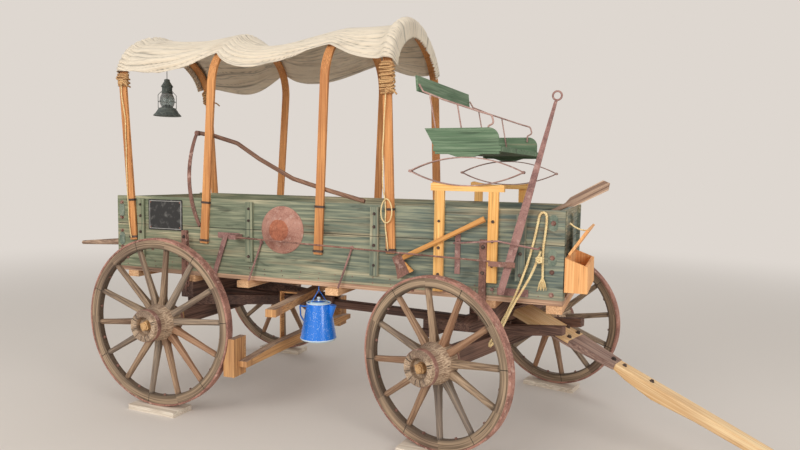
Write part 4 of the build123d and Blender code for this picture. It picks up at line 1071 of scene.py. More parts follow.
class Heads(Tree):
    """Sets a washer and a square bolt head on each point of a mesh, facing outwards."""

    def __init__(self) -> None:
        """Builds the tree."""
        kinds = {"Points": "Geometry", "Washer": "Float", "Head": "Float", "Finish": "Material"}
        super().__init__("bolt_heads", kinds)
        graph, washer, head = self.graph, self.wires["Washer"], self.wires["Head"]
        kind, cylinder = {"fill_type": "NGON"}, "GeometryNodeMeshCylinder"
        disc = graph.node(cylinder, kind, {"Vertices": 12, "Radius": washer, "Depth": washer * 0.3})
        block = graph.node(cylinder, kind, {"Vertices": 4, "Radius": head * 0.72, "Depth": head * 0.9})
        sockets = {"Geometry": block, "Translation": graph.vector(0.0, 0.0, head * 0.4)}
        raised = graph.node("GeometryNodeTransform", {}, sockets)
        bolt = graph.node("GeometryNodeJoinGeometry", {}, {"Geometry": [disc, raised]})
        kind = {"data_type": "FLOAT_VECTOR"}
        facing = graph.node("GeometryNodeInputNamedAttribute", kind, {"Name": "facing"})
        kind, chance = {"data_type": "FLOAT"}, "FunctionNodeRandomValue"
        spin = graph.node(chance, kind, {"Min": 0.0, "Max": math.pi, "Seed": 7}, 1)
        turned = graph.node("FunctionNodeAxisAngleToRotation", {}, {"Axis": (0, 0, 1), "Angle": spin})
        aimed = graph.node("FunctionNodeAlignRotationToVector", {"axis": "Z"}, {"Vector": facing})
        kind = {"rotation_space": "LOCAL"}
        rotation = graph.node("FunctionNodeRotateRotation", kind, {0: aimed, 1: turned})
        size = graph.node(chance, {"data_type": "FLOAT"}, {"Min": 0.88, "Max": 1.12, "Seed": 3}, 1)
        sockets = {"Points": self.wires["Points"], "Instance": bolt, "Rotation": rotation, "Scale": size}
        placed = graph.node("GeometryNodeInstanceOnPoints", {}, sockets)
        self.end(placed, self.wires["Finish"])

    def build(
        self,
        name: str,
        spots: Sequence[tuple[Vector, Vector]],
        washer: float,
        head: float,
        material: bpy.types.Material,
        body: str = "wagon",
        slot: str = "dark_iron",
    ) -> bpy.types.Object:
        """Sets heads on a body.

        Args:
            name: The piece's name.
            spots: A place and the way that it faces for each head.
            washer: Radius of the washers.
            head: Half the heads' diagonal, before their shrink.
            material: Their finish.
            body: What they ride on.
            slot: Their slot in the frame; not used.

        Returns:
            The piece.
        """
        points = bpy.data.meshes.new(name + "_points")
        points.from_pydata([spot for spot, facing in spots], [], [])
        ways = points.attributes.new("facing", "FLOAT_VECTOR", "POINT")
        for entry, (spot, facing) in zip(ways.data, spots):
            entry.vector = facing
        mesh = self.grow(name, points, Washer=washer, Head=head, Finish=material)
        return place_piece(name, mesh, body, slot, material)


@dataclass
class Route:
    """One free rope: the points of its CAD route and its facts."""

    name: str
    diameter: float
    length: float
    pitch: float
    points: Sequence[Triple]


@dataclass
class Ropes:
    """The free ropes that hang on the right side."""

    lay: Lay
    routes: Sequence[Route] = (
        Route(
            "rear_cord", 0.008, 1.249, 0.03,
            (
                (-3.013, -0.5724, 2.482), (-3.016, -0.573, 2.390), (-2.996, -0.570, 2.290),
                (-2.978, -0.5686, 2.180), (-2.982, -0.568, 2.065), (-2.975, -0.5686, 1.950),
                (-2.979, -0.568, 1.835), (-2.972, -0.5686, 1.720), (-2.974, -0.5678, 1.605),
                (-2.964, -0.5678, 1.490), (-2.962, -0.5682, 1.385), (-2.949, -0.5678, 1.290),
                (-2.940, -0.5678, 1.238),
            ),
        ),
        Route(
            "bow_cord", 0.009, 1.104, 0.032,
            (
                (-0.736, -0.5728, 2.362), (-0.738, -0.5735, 2.270), (-0.746, -0.571, 2.165),
                (-0.748, -0.5694, 2.050), (-0.755, -0.570, 1.935), (-0.748, -0.5692, 1.820),
                (-0.752, -0.5698, 1.710), (-0.730, -0.5686, 1.620), (-0.724, -0.5682, 1.530),
                (-0.728, -0.569, 1.430), (-0.712, -0.5686, 1.340), (-0.704, -0.5682, 1.262),
            ),
        ),
        Route(
            "side_rope", 0.016, 2.096, 0.05,
            (
                (0.352, -0.553, 1.140), (0.350, -0.549, 1.230), (0.347, -0.547, 1.330),
                (0.360, -0.5458, 1.430), (0.366, -0.5458, 1.520), (0.360, -0.5458, 1.562),
                (0.320, -0.5458, 1.560), (0.310, -0.5458, 1.490), (0.290, -0.547, 1.380),
                (0.256, -0.560, 1.232), (0.226, -0.568, 1.140), (0.200, -0.570, 1.058),
                (0.160, -0.580, 0.955), (0.107, -0.594, 0.842), (0.062, -0.605, 0.745),
                (0.030, -0.612, 0.692), (0.044, -0.630, 0.680), (0.076, -0.630, 0.730),
                (0.132, -0.622, 0.851), (0.176, -0.604, 0.956), (0.232, -0.586, 1.062),
                (0.296, -0.570, 1.186), (0.336, -0.566, 1.316),
            ),
        ),
    )

    loop_middle: Triple = (-0.716, -0.5775, 1.535)
    loop_half: Duo = (0.040, 0.082)
    knot_middle: Triple = (0.330, -0.583, 1.262)
    knot_turns: int = 3
    tassel_root: Triple = (0.352, -0.560, 1.150)
    tassel_half: float = 0.026
    tassel_fall: float = 0.075
    strands: int = 19
    trim_pitch: float = 3.2

    def centreline(self, route: Route) -> list[Vector]:
        """Points along the route's smooth spline."""
        line = curve(route.name + "_route", "NURBS", [king(*spot) for spot in route.points])
        mesh = plain_mesh(linked(route.name + "_route", line))
        return [vertex.co.copy() for vertex in mesh.vertices]

    def build(self, material: bpy.types.Material) -> None:
        """Lays each rope in place of its CAD tube."""
        for route in self.routes:
            path = self.centreline(route)
            name = route.name + "_laid"
            mesh = self.lay.mesh(name, path, route.diameter, route.pitch, material)
            rope = place_piece(name, mesh, "wagon", "rope", material)
            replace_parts(rope, route.name)
            trims = self.trims().get(route.name, {}).items()
            tuple(path[0])
            [self.trim(name, paths, material) for name, paths in trims]

    def trims(self) -> dict[str, dict[str, list[tuple[list[Vector], float]]]]:
        """Paths and diameters of the knots and the tassel on the ropes, by rope and piece."""
        tassel = [(path, 0.0042) for path in self.tassel()]
        return {
            "bow_cord": {"bow_cord_loop": [(self.loop(), 0.009)]},
            "side_rope": {"side_rope_knot": [(self.knot(), 0.014)], "side_rope_tassel": tassel},
        }

    def loop(self) -> list[Vector]:
        """Path of the loop in the bow cord."""
        x, y, z = self.loop_middle
        wide, tall = self.loop_half
        path = [
            king(x + wide * math.sin(angle), y - 0.004 * math.sin(2 * angle), z + tall * math.cos(angle))
            for angle in angles(48)
        ]
        return path + path[:1]

    def knot(self) -> list[Vector]:
        """Path of the knot that ties the side rope to itself."""
        x, y, z = self.knot_middle
        steps = 30 * self.knot_turns
        path = []
        for step in range(steps):
            angle = math.tau * self.knot_turns * step / steps
            rise = 0.011 * math.sin(angle) + 0.009 * math.sin(angle / self.knot_turns)
            path.append(king(x + 0.017 * math.cos(angle), y - 0.006 * math.sin(angle * 2 / 3), z + rise))
        return path

    def tassel(self) -> list[list[Vector]]:
        """Paths of the strands of the side rope's frayed end."""
        root = king(*self.tassel_root)
        middle = (self.strands - 1) / 2
        paths = []
        for strand in range(self.strands):
            spread = (strand - middle) / middle
            drop = self.tassel_fall + 0.012 * math.cos(strand)
            tip = root + Vector((self.tassel_half * spread, -0.006 * math.cos(strand * 2.4), -drop))
            bend = (root + tip) / 2 + Vector((0.012 * spread, -0.006, 0.004))
            paths.append(bent(root, bend, tip, 9))
        return paths

    def trim(
        self, name: str, paths: list[tuple[list[Vector], float]], material: bpy.types.Material
    ) -> bpy.types.Object:
        """One knot, loop or tassel of laid rope."""
        whole = Piece(name, "wagon", "rope", material)
        for path, diameter in paths:
            mesh = self.lay.mesh(name + "_part", path, diameter, diameter * self.trim_pitch, material)
            faces = [list(face.vertices) for face in mesh.polygons]
            whole.add([vertex.co for vertex in mesh.vertices], faces)
        return whole.make(60)


@dataclass
class Cover:
    """The gathered cotton cover over the four bows.

    Args:
        knots: Where the cloth lies over each bow's crown.
        leans: Backward lean of each bow, in degrees.
        near: Height of the right edge at each bow, and far of the left edge.
        near_sags: Sag of the right edge in each span, far_sags of the left, crown_sags of the middle.
        sag_peaks: Where along each span its sag is deepest, and freedom how loosely it hangs.
        loft: Lift of the cloth off the bows' crowns, and bulge its half width.
        half: Half width of the arch, with its shoulder's and crown's radii and the crown's half angle.
        roll_reach: Reach of the rolls over the end bows, with their heights at the rear and front.
        end_falls: How far in the rolls and gathers of the rear and front end die away.
        lip_fall: Fall of the lips, with the share of a lip in its bend and its tuck inwards.
        columns: Columns of the sheet, with those of each lip, and its rows.
        gather: Depth of the gathers over the end bows, and turn_up the hem's lift and share.
        pleats: Count across, depth and seed of each set of folds.
    """

    knots: tuple[float, ...] = (-2.330, -1.427, -0.482, -0.038)
    leans: tuple[float, ...] = (4.1, -3.5, -1.9, 2.3)
    near: tuple[float, ...] = (2.562, 2.672, 2.684, 2.560)
    near_sags: tuple[float, ...] = (0.070, 0.118, 0.030)
    far: tuple[float, ...] = (2.560, 2.660, 2.693, 2.604)
    far_sags: tuple[float, ...] = (0.10, 0.085, 0.03)
    crown_sags: tuple[float, ...] = (0.070, 0.140, 0.004)
    sag_peaks: tuple[float, ...] = (0.55, 0.36, 0.5)
    freedom: tuple[float, ...] = (1.0, 1.0, 0.6)
    loft: float = 0.028
    bulge: float = 0.42
    half: float = 0.5584
    shoulder: float = 0.3512
    crown: float = 0.712
    turn: float = math.radians(35.0)
    roll_reach: float = 0.046
    roll_heights: Duo = (0.030, 0.046)
    end_falls: Duo = (0.05, 0.06)
    lip_fall: float = 0.100
    lip_bend: float = 0.4
    lip_tuck: float = 0.07
    columns: int = 196
    lip_columns: int = 15
    rows: int = 212
    thickness: float = 0.0016
    gather: float = 0.010
    turn_up: Duo = (0.006, 0.03)
    pleats: Sequence[tuple[int, float, float]] = ((9, 0.034, 1.0), (19, 0.015, 4.0), (41, 0.005, 7.0))

    def spans(self, x: np.ndarray, values: Sequence[float], sags: Sequence[float]) -> np.ndarray:
        """Values at the bows joined by sagging spans."""
        result = np.interp(x, self.knots, values)
        for index, sag in enumerate(sags):
            low, high = self.knots[index], self.knots[index + 1]
            share = np.clip((x - low) / (high - low), 0, 1)
            power = math.log(0.5) / math.log(self.sag_peaks[index])
            result -= sag * np.sin(np.pi * share**power) ** 1.3
        return result

    def edge_arc(self, height: np.ndarray) -> np.ndarray:
        """Arc length from the crown to an edge at a height."""
        angle = np.arcsin(np.clip((height - BOW_SPRING) / self.shoulder, 0, 1))
        return self.crown * self.turn + self.shoulder * (math.pi / 2 - self.turn - angle)

    def arch(self, arc: np.ndarray) -> tuple[np.ndarray, np.ndarray, np.ndarray, np.ndarray]:
        """Across, up and the outward direction at an arc length from the crown."""
        size, side = np.abs(arc), np.sign(arc)
        limit = self.crown * self.turn
        on_crown = size <= limit
        angle = np.where(on_crown, size / self.crown, self.turn + (size - limit) / self.shoulder)
        radius = np.where(on_crown, self.crown, self.shoulder)
        middle_y = np.where(on_crown, 0.0, self.half - self.shoulder)
        top = BOW_SPRING + (self.shoulder - self.crown) * math.cos(self.turn)
        middle_z = np.where(on_crown, top, BOW_SPRING)
        return (
            side * (middle_y + radius * np.sin(angle)),
            middle_z + radius * np.cos(angle),
            side * np.sin(angle),
            np.cos(angle),
        )

    def profile(self) -> tuple[np.ndarray, np.ndarray]:
        """Places along the wagon and the lift over the bows, rolled over at both ends."""
        line = np.linspace(self.knots[0], self.knots[-1], self.columns)
        rear_high, front_high = self.roll_heights
        lift = rear_high * np.exp(-(((line - self.knots[0]) / 0.05) ** 2))
        lift += front_high * np.exp(-(((line - self.knots[-1]) / 0.055) ** 2))
        share = np.linspace(0, 1, self.lip_columns + 1)[1:]
        angle = np.minimum(share / self.lip_bend, 1) * math.pi / 2
        hang = np.maximum(share - self.lip_bend, 0) / (1 - self.lip_bend) * self.lip_fall
        forward, drop = self.roll_reach * np.sin(angle) - hang * self.lip_tuck, np.cos(angle)
        rear = (self.knots[0] - forward[::-1], (rear_high * drop - hang)[::-1])
        front = (self.knots[-1] + forward, front_high * drop - hang)
        return np.concatenate((rear[0], line, front[0])), np.concatenate((rear[1], lift, front[1]))

    @staticmethod
    def field(x: np.ndarray, across: np.ndarray, along: float, beside: float, seed: float) -> np.ndarray:
        """Soft noise over the cloth."""
        spots = zip(x.ravel(), across.ravel())
        values = (noise.noise(Vector((a * along + seed, b * beside, seed))) for a, b in spots)
        return np.fromiter(values, float, x.size).reshape(x.shape)

    def folds(self, x: np.ndarray, across: np.ndarray) -> tuple[np.ndarray, np.ndarray]:
        """Height of the cloth's folds, round above and sharp below, and the painted shade for its creases,
        darkest in their valleys.
        """
        drift = self.field(x, across, 0.9, 1.6, 3.0) * 0.17
        drift += self.field(x, across, 2.4, 4.0, 8.0) * 0.05
        height, crease = np.zeros(x.shape), np.zeros(x.shape)
        for count, depth, seed in self.pleats:
            strength = np.clip(0.60 + 1.5 * self.field(x, across, 1.2, 2.4, seed), 0.10, 1.25)
            wave = np.abs(np.sin(np.pi * count * (across + drift) + seed))
            height += depth * strength * wave**0.8
            # Painted shade: darkest at the bottom of each fold's valley.
            crease = np.maximum(crease, strength * (1 - wave) ** 4 * min(1.0, depth / 0.016))
        return height, crease

    def pucker(self, x: np.ndarray, arc: np.ndarray) -> np.ndarray:
        """Fine gathers where the cloth is drawn over an end bow."""
        drift = 1.1 * np.sin(arc * 13.0) + 0.8 * np.sin(arc * 31.0 + 1.0)
        lean = (x - x.min()) * 22
        first = np.abs(np.sin(arc * math.pi * 25 + drift * 2 + lean)) ** 0.8
        second = np.sin(arc * math.tau * 41 - drift * 3 + lean * 2)
        return self.gather * (first * 1.5 - 0.5) + 0.002 * second

    def surface(self) -> tuple[np.ndarray, np.ndarray, np.ndarray]:
        """Points of the cloth, its flat chart and the painted shade of its creases and gathers, row by row
        from the right edge.
        """
        line, rise = self.profile()
        rear_end, front_end = self.knots[0], self.knots[-1]
        x, across = np.meshgrid(line, np.linspace(-1, 1, self.rows))
        near = self.edge_arc(self.spans(line, self.near, self.near_sags))
        far = self.edge_arc(self.spans(line, self.far, self.far_sags))
        arc = np.where(across < 0, across * near, across * far)
        y, z, out_y, out_z = self.arch(arc)
        level = (0,) * len(self.knots)
        free = -self.spans(line, level, self.freedom)[None, :]
        slack = -self.spans(line, level, self.crown_sags)[None, :]
        bulge = np.exp(-((arc / self.bulge) ** 2))
        rear_fall, front_fall = self.end_falls
        rear_share = np.exp(-(((x - rear_end) / rear_fall) ** 2))
        front_share = np.exp(-(((x - front_end) / front_fall) ** 2))
        ends = np.where((x < rear_end) | (x > front_end), 1.0, np.maximum(rear_share, front_share))
        fold, creases = self.folds(x, across)
        fold = fold * (0.30 + 0.70 * free)
        gathers = self.pucker(x, arc)
        lift = fold * (1 - ends) + (rise[None, :] + gathers) * ends
        hem_lift, hem_share = self.turn_up
        hem = np.exp(-(((1 - np.abs(across)) / hem_share) ** 2)) * (1 - ends)
        lift = lift + self.loft * bulge - 0.016 * free + hem_lift * hem
        y = y + out_y * lift
        z = z + out_z * lift - slack * bulge
        lean = np.tan(np.radians(np.interp(line, self.knots, self.leans)))[None, :]
        top = self.arch(np.zeros(1))[1][0]
        outwards = np.sign(x - (rear_end + front_end) / 2)
        hanging = np.clip(-rise / self.lip_fall, 0, 1)[None, :] * outwards
        x = x + (top - z) * lean + gathers * hanging
        # Painted shade: in the creases between the bows and in the gathers' valleys over the end bows.
        creases = creases * (1 - ends) + ends * np.clip(0.4 - gathers / self.gather, 0, 1)
        return np.stack((x, y, z), axis=-1), np.stack((line + 0 * arc, arc), axis=-1), creases

    def build(self, material: bpy.types.Material) -> None:
        points, chart, creases = self.surface()
        rows, columns = points.shape[:2]
        index = np.arange(rows * columns).reshape(rows, columns)
        corners = (index[:-1, :-1], index[:-1, 1:], index[1:, 1:], index[1:, :-1])
        faces = np.stack(corners, axis=-1).reshape(-1, 4)
        mesh = bpy.data.meshes.new("cover_cloth")
        mesh.from_pydata(points.reshape(-1, 3).tolist(), [], faces.tolist())
        layer = mesh.uv_layers.new(name="flat")
        layer.data.foreach_set("uv", chart.reshape(-1, 2)[faces.ravel()].astype(np.float32).ravel())
        # The cloth's attribute carries painted shade for the valleys of its folds and gathers.
        crease = mesh.attributes.new("crease", "FLOAT", "POINT")
        crease.data.foreach_set("value", creases.ravel().astype(np.float32))
        mesh.shade_smooth()
        cloth = place_piece("cover_cloth", mesh, "wagon", "cotton", material)
        thick = cloth.modifiers.new("thickness", "SOLIDIFY")
        thick.thickness = self.thickness
        thick.offset = 1.0
        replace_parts(cloth, "canvas_cover")


@dataclass
class Lashings:
    """Rope wound round the end bows under the cover's corners."""

    lay: Lay
    diameter: float = 0.0125
    bow_half_width: float = 0.032
    bow_half_thickness: float = 0.010
    bow_radius: float = 0.340
    leg: float = 0.5473
    pitch: float = 0.034
    standoff: float = 0.55
    turn_steps: int = 26
    knot_shift: Triple = (0.018, 0.0, 0.018)
    knot_size: float = 0.011
    tail: Triple = (0.050, 0.014, -0.030)
    # Columns: bow's place at the box top, lean, side, bottom, top
    windings: Sequence[tuple[float, float, int, float, float]] = (
        (-0.703, 2.3, -1, 2.335, 2.545),
        (-0.703, 2.3, 1, 2.470, 2.545),
        (-2.953, 4.1, -1, 2.455, 2.545),
        (-2.953, 4.1, 1, 2.425, 2.545),
    )

    def centre(self, foot: float, lean: float, side: int, height: float) -> tuple[Vector, Vector]:
        """Middle of a bow's strip at a height, and its outward direction."""
        rise = max(height - BOW_SPRING, 0.0)
        angle = math.asin(min(rise / self.bow_radius, 1))
        across = self.leg - self.bow_radius * (1 - math.cos(angle))
        back = (height - SIDE_TOP) * math.tan(math.radians(lean))
        outward = Vector((0, side * math.cos(angle), math.sin(angle)))
        return king(foot - back, side * across, height), outward

    def round_bow(self, facts: tuple[float, float, int], height: float, angle: float, swell: float) -> Vector:
        """Point on the oval that a rope follows round a bow leg."""
        spot, outward = self.centre(*facts, height)
        x, y = math.cos(angle), math.sin(angle)
        wide = self.bow_half_width + self.diameter * self.standoff + swell
        thick = self.bow_half_thickness + self.diameter * self.standoff + swell
        along = math.copysign(abs(x) ** 0.45, x) * wide
        return spot + Vector((along, 0, 0)) + outward * (math.copysign(abs(y) ** 0.6, y) * thick)

    def winding(
        self, number: int, foot: float, lean: float, side: int, low: float, high: float
    ) -> list[Vector]:
        """Path of one rope wound up a bow leg and crossed back over its own turns."""
        path = []
        # Columns: starting and ending height, pitch, tilt of the turns, standing off the leg
        for start, end, pitch, tilt, swell in (
            (low, high, 1.02, 0.006, 0.0),
            (high, low + 0.012, 1.9, -0.020, self.diameter * 0.85),
        ):
            turns = abs(end - start) / (self.diameter * pitch)
            steps = int(turns * self.turn_steps)
            for step in range(steps + 1):
                share = step / steps
                angle = math.tau * turns * share
                wobble = noise.noise(Vector((share * turns * 0.6, number * 3.1, pitch)))
                slant = tilt * math.sin(angle + number) * (0.4 + 1.6 * abs(wobble))
                height = start + (end - start) * share + slant
                height = min(height + 0.008 * wobble, high + 0.004)
                off = swell * min(share * steps / 14, 1) + 0.005 * abs(wobble)
                path.append(self.round_bow((foot, lean, side), height, angle, off))
        return path

    def knot(self, foot: float, lean: float, side: int, low: float) -> list[Vector]:
        """Path of the knot on a lashing's face, with a short end standing out."""
        shift_x, shift_y, shift_z = self.knot_shift
        spot, outward = self.centre(foot, lean, side, low + shift_z)
        reach = self.bow_half_thickness + self.diameter * 1.9
        middle = spot + outward * reach + Vector((shift_x, shift_y, 0))
        path = []
        for step in range(64):
            angle = math.tau * 2 * step / 63
            radius = self.knot_size + 0.005 * math.cos(1.5 * angle)
            turned = Vector((math.cos(angle) * radius * 1.2, 0, math.sin(angle) * radius))
            path.append(middle + turned + outward * (0.007 * math.sin(1.5 * angle)))
        start = path[-1]
        along, out, drop = self.tail
        for step in range(1, 13):
            share = step / 12
            fall = Vector((along * share, 0, drop * share * share))
            path.append(start + fall + outward * (out * share))
        return path

    def build(self, material: bpy.types.Material) -> None:
        """Winds each lashing and ties it off."""
        for number, winding in enumerate(self.windings):
            paths = {f"lashing_{number + 1}": self.winding(number, *winding)}
            paths[f"lashing_knot_{number + 1}"] = self.knot(*winding[:4])
            for name, path in paths.items():
                mesh = self.lay.mesh(name, path, self.diameter, self.pitch, material)
                piece = place_piece(name, mesh, "wagon", "rope", material)
                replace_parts(piece, "bow_lashings")


@dataclass
class Palette:
    """The finishes that the wagon's pieces share."""

    rust: Iron = Iron("rust", tone(96, 68, 60), tone(152, 110, 96), tone(190, 156, 144))
    pale_rust: Iron = Iron(
        "pale_rust", tone(140, 108, 100), tone(188, 154, 144), tone(216, 196, 186), 0.15, 0.5
    )
    painted_iron: Iron = Iron(
        "painted_iron", tone(92, 106, 94), tone(128, 138, 122), tone(168, 170, 152), 0.1, 0.6
    )
    tin: Iron = Iron("tin", tone(58, 66, 66), tone(108, 116, 112), tone(150, 158, 152), 0.2, 0.5)
    nut: Iron = Iron("nut_rust", tone(144, 104, 66), tone(206, 166, 116), tone(226, 200, 160), 0.0, 0.5)
    black_iron: Iron = Iron("black_iron", tone(44, 38, 36), tone(92, 74, 66), tone(128, 106, 94))
    tyre: Iron = Iron("tyre_rust", tone(120, 82, 72), tone(180, 132, 116), tone(208, 172, 156), 0.2)
    jute: Fibre = Fibre("jute", tone(250, 232, 180), tone(214, 178, 122))
    tawny_rope: Fibre = Fibre("tawny_rope", tone(226, 186, 132), tone(168, 120, 78))

    def grey(self, name: str, **changes: Any) -> Timber:
        """Weathered bare wood."""
        return Timber(name, tone(112, 84, 70), tone(198, 168, 142), tone(94, 70, 60), **changes)

    def brown(self, name: str, **changes: Any) -> Timber:
        """Old stained undercarriage wood."""
        return Timber(name, tone(64, 44, 38), tone(138, 104, 88), tone(52, 38, 34), **changes)

    def fresh(self, name: str, **changes: Any) -> Timber:
        """Newly sawn softwood."""
        tones = tone(222, 156, 80), tone(252, 204, 128), tone(204, 146, 88)
        return Timber(name, *tones, age=0.2, bands=34.0, **changes)

    def old_paint(self, name: str, **changes: Any) -> WornPaint:
        """Grey-green paint on the box."""
        bare = tone(132, 118, 92), tone(206, 196, 162), tone(116, 104, 84)
        return WornPaint(
            name,
            rear=tone(108, 116, 91),
            front=tone(92, 105, 99),
            chalk=tone(182, 181, 150),
            timber=Timber(name + "_wood", *bare, **changes),
            wear=0.085,
            edges=(FLOOR_TOP, BOARD_JOINT, SIDE_TOP),
            joints=(BOARD_JOINT,),
        )


@dataclass
class Box:
    """The plank box with its boards, battens, gate, floor and the plates on it."""

    palette: Palette
    heads: Heads
    boards: tuple[int, float, float] = (2, 10.0, BOARD_JOINT - 10.0)
    batten_places: tuple[float, ...] = (-2.852, -1.835, -0.814, 0.206)
    batten_face: float = SIDE_FACE + 0.020
    batten_bolts: tuple[float, ...] = (1.15, 1.29, 1.42, 1.51)
    plate_low: Duo = (-2.784, 1.312)
    plate_high: Duo = (-2.456, 1.555)
    front_bolts: tuple[float, ...] = (1.035, 1.181, 1.274, 1.495)
    plated_bolts: tuple[float, ...] = (1.274, 1.495)
    rear_bolts: tuple[float, ...] = (1.045, 1.16, 1.29, 1.40, 1.52)
    rear_plates: tuple[float, ...] = (1.225, 1.46)
    corner_inset: float = 0.072
    rear_inset: float = 0.046
    plate_thickness: float = 0.005
    plate_half: Duo = (0.026, 0.052)
    plate_corner: float = 0.024
    nail_pitch: float = 0.145
    nail_rows: tuple[float, ...] = (1.02, 1.058)
    screw_inset: float = 0.022
    chain_top: Triple = (-WHEELBASE + 0.006, -SIDE_FACE - 0.040, 1.268)
    links: int = 12
    link_pitch: float = 0.036
    link_half: Duo = (0.0135, 0.0245)
    link_wire: float = 0.0046

    def dress(self) -> None:
        """Finishes the box's boards."""
        paint = self.palette.old_paint("side_paint", board=self.boards)
        wear(["side_left", "side_right"], paint.material())
        wear(["side_battens"], self.palette.old_paint("batten_paint", grain=Grain.UPRIGHT).material())
        across = self.palette.old_paint("end_paint", grain=Grain.ACROSS)
        wear(["front_board", "tail_gate"], across.material())
        planks = tone(150, 112, 90), tone(214, 178, 148), tone(120, 92, 76)
        wear(["bed_floor"], Timber("floor_wood", *planks, board=(1, 0.1534, -HALF_BOX)).material())
        sawn = tone(196, 142, 100), tone(240, 198, 152), tone(160, 118, 90)
        wear(["cross_sills"], Timber("sill_wood", *sawn, grain=Grain.ACROSS, age=0.5).material())
        low = (KING_X + self.plate_low[0], self.plate_low[1])
        high = (KING_X + self.plate_high[0], self.plate_high[1])
        placard = Placard("placard", tone(34, 33, 33), tone(196, 194, 188), low, high)
        wear(["sign_plate"], placard.material())
        wear(["tail_pole"], self.palette.grey("pole_wood").material())
        wear(["paddle"], self.palette.grey("paddle_wood", turn=unturned(math.radians(-29))).material())

    def bolts(self) -> None:
        """Bolts through the battens and corners, nails along the floor and screws in the plate."""
        spots = []
        for x in self.batten_places:
            for z in self.batten_bolts:
                spots += both_sides(x, self.batten_face, z)
        self.heads.build("batten_bolts", spots, 0.011, 0.014, self.palette.black_iron.material())
        rust = self.palette.rust.material()
        corners = []
        for side in (-1, 1):
            for z in self.front_bolts:
                lift = self.plate_thickness if z in self.plated_bolts else 0.0
                spot = king(BOX_FRONT - self.corner_inset, side * (HALF_BOX + lift), z)
                corners.append((spot, RIGHT * -side))
            for z in self.rear_bolts:
                corners.append((king(BOX_REAR + self.rear_inset, side * HALF_BOX, z), RIGHT * -side))
        self.heads.build("corner_bolts", corners, 0.015, 0.016, rust, slot="rusty_iron")
        nails = []
        for x in np.arange(BOX_REAR + 0.1, BOX_FRONT - 0.1, self.nail_pitch):
            for z in self.nail_rows:
                wander = noise.noise(Vector((x * 7, z * 9, 2)))
                for side in (-1, 1):
                    spot = king(x - side * 0.03 * wander, side * HALF_BOX, z + 0.006 * wander)
                    nails.append((spot, RIGHT * -side))
        self.heads.build("floor_nails", nails, 0.0045, 0.0045, rust, slot="rusty_iron")
        inset, face = self.screw_inset, SIDE_FACE + 0.006
        screws = [
            (king(x, -face, z), RIGHT)
            for x in (self.plate_low[0] + inset, self.plate_high[0] - inset)
            for z in (self.plate_low[1] + inset, self.plate_high[1] - inset)
        ]
        self.heads.build("plate_screws", screws, 0.006, 0.005, rust, slot="sign")

    def corner_plates(self) -> None:
        """Oval iron plates under the upper corner bolts, at both ends of both sides."""
        iron = Piece("corner_plates", "wagon", "rusty_iron", self.palette.painted_iron.material())
        half_wide, half_tall = self.plate_half
        corner = self.plate_corner
        outline = []
        for x_sign, z_sign, start in ((1, 1, 0), (-1, 1, 1), (-1, -1, 2), (1, -1, 3)):
            for step in range(7):
                angle = (start + step / 6) * math.pi / 2
                x = x_sign * (half_wide - corner) + corner * math.cos(angle)
                outline.append((x, z_sign * (half_tall - corner) + corner * math.sin(angle)))
        front, rear = BOX_FRONT - self.corner_inset, BOX_REAR + self.rear_inset
        for side in (-1, 1):
            turn = Matrix.Rotation(-side * math.pi / 2, 4, "X")
            for x, heights in ((front, self.plated_bolts), (rear, self.rear_plates)):
                for z in heights:
                    place = Matrix.Translation(king(x, side * (HALF_BOX + 0.0002), z)) @ turn
                    iron.plate(outline, self.plate_thickness - 0.001, place)
        iron.make()

    def stake_chain(self) -> None:
        """Chain that hangs from the rear right stake."""
        chain = Piece("stake_chain", "wagon", "rusty_iron", self.palette.rust.material())
        wide, tall = self.link_half
        for link in range(self.links):
            sway = 0.006 * math.sin(link * 0.9)
            middle = king(*self.chain_top) + Vector((sway, 0, -self.link_pitch * link))
            ring = []
            for angle in angles(16):
                flat, rise = wide * math.cos(angle), tall * math.sin(angle)
                ring.append(middle + Vector((0, flat, rise) if link % 2 else (flat, 0, rise)))
            chain.tube(ring, self.link_wire, 7, True)
        chain.make(60)

    def build(self) -> None:
        """Dresses and bolts the box."""
        self.dress()
        self.bolts()
        self.corner_plates()
        self.stake_chain()


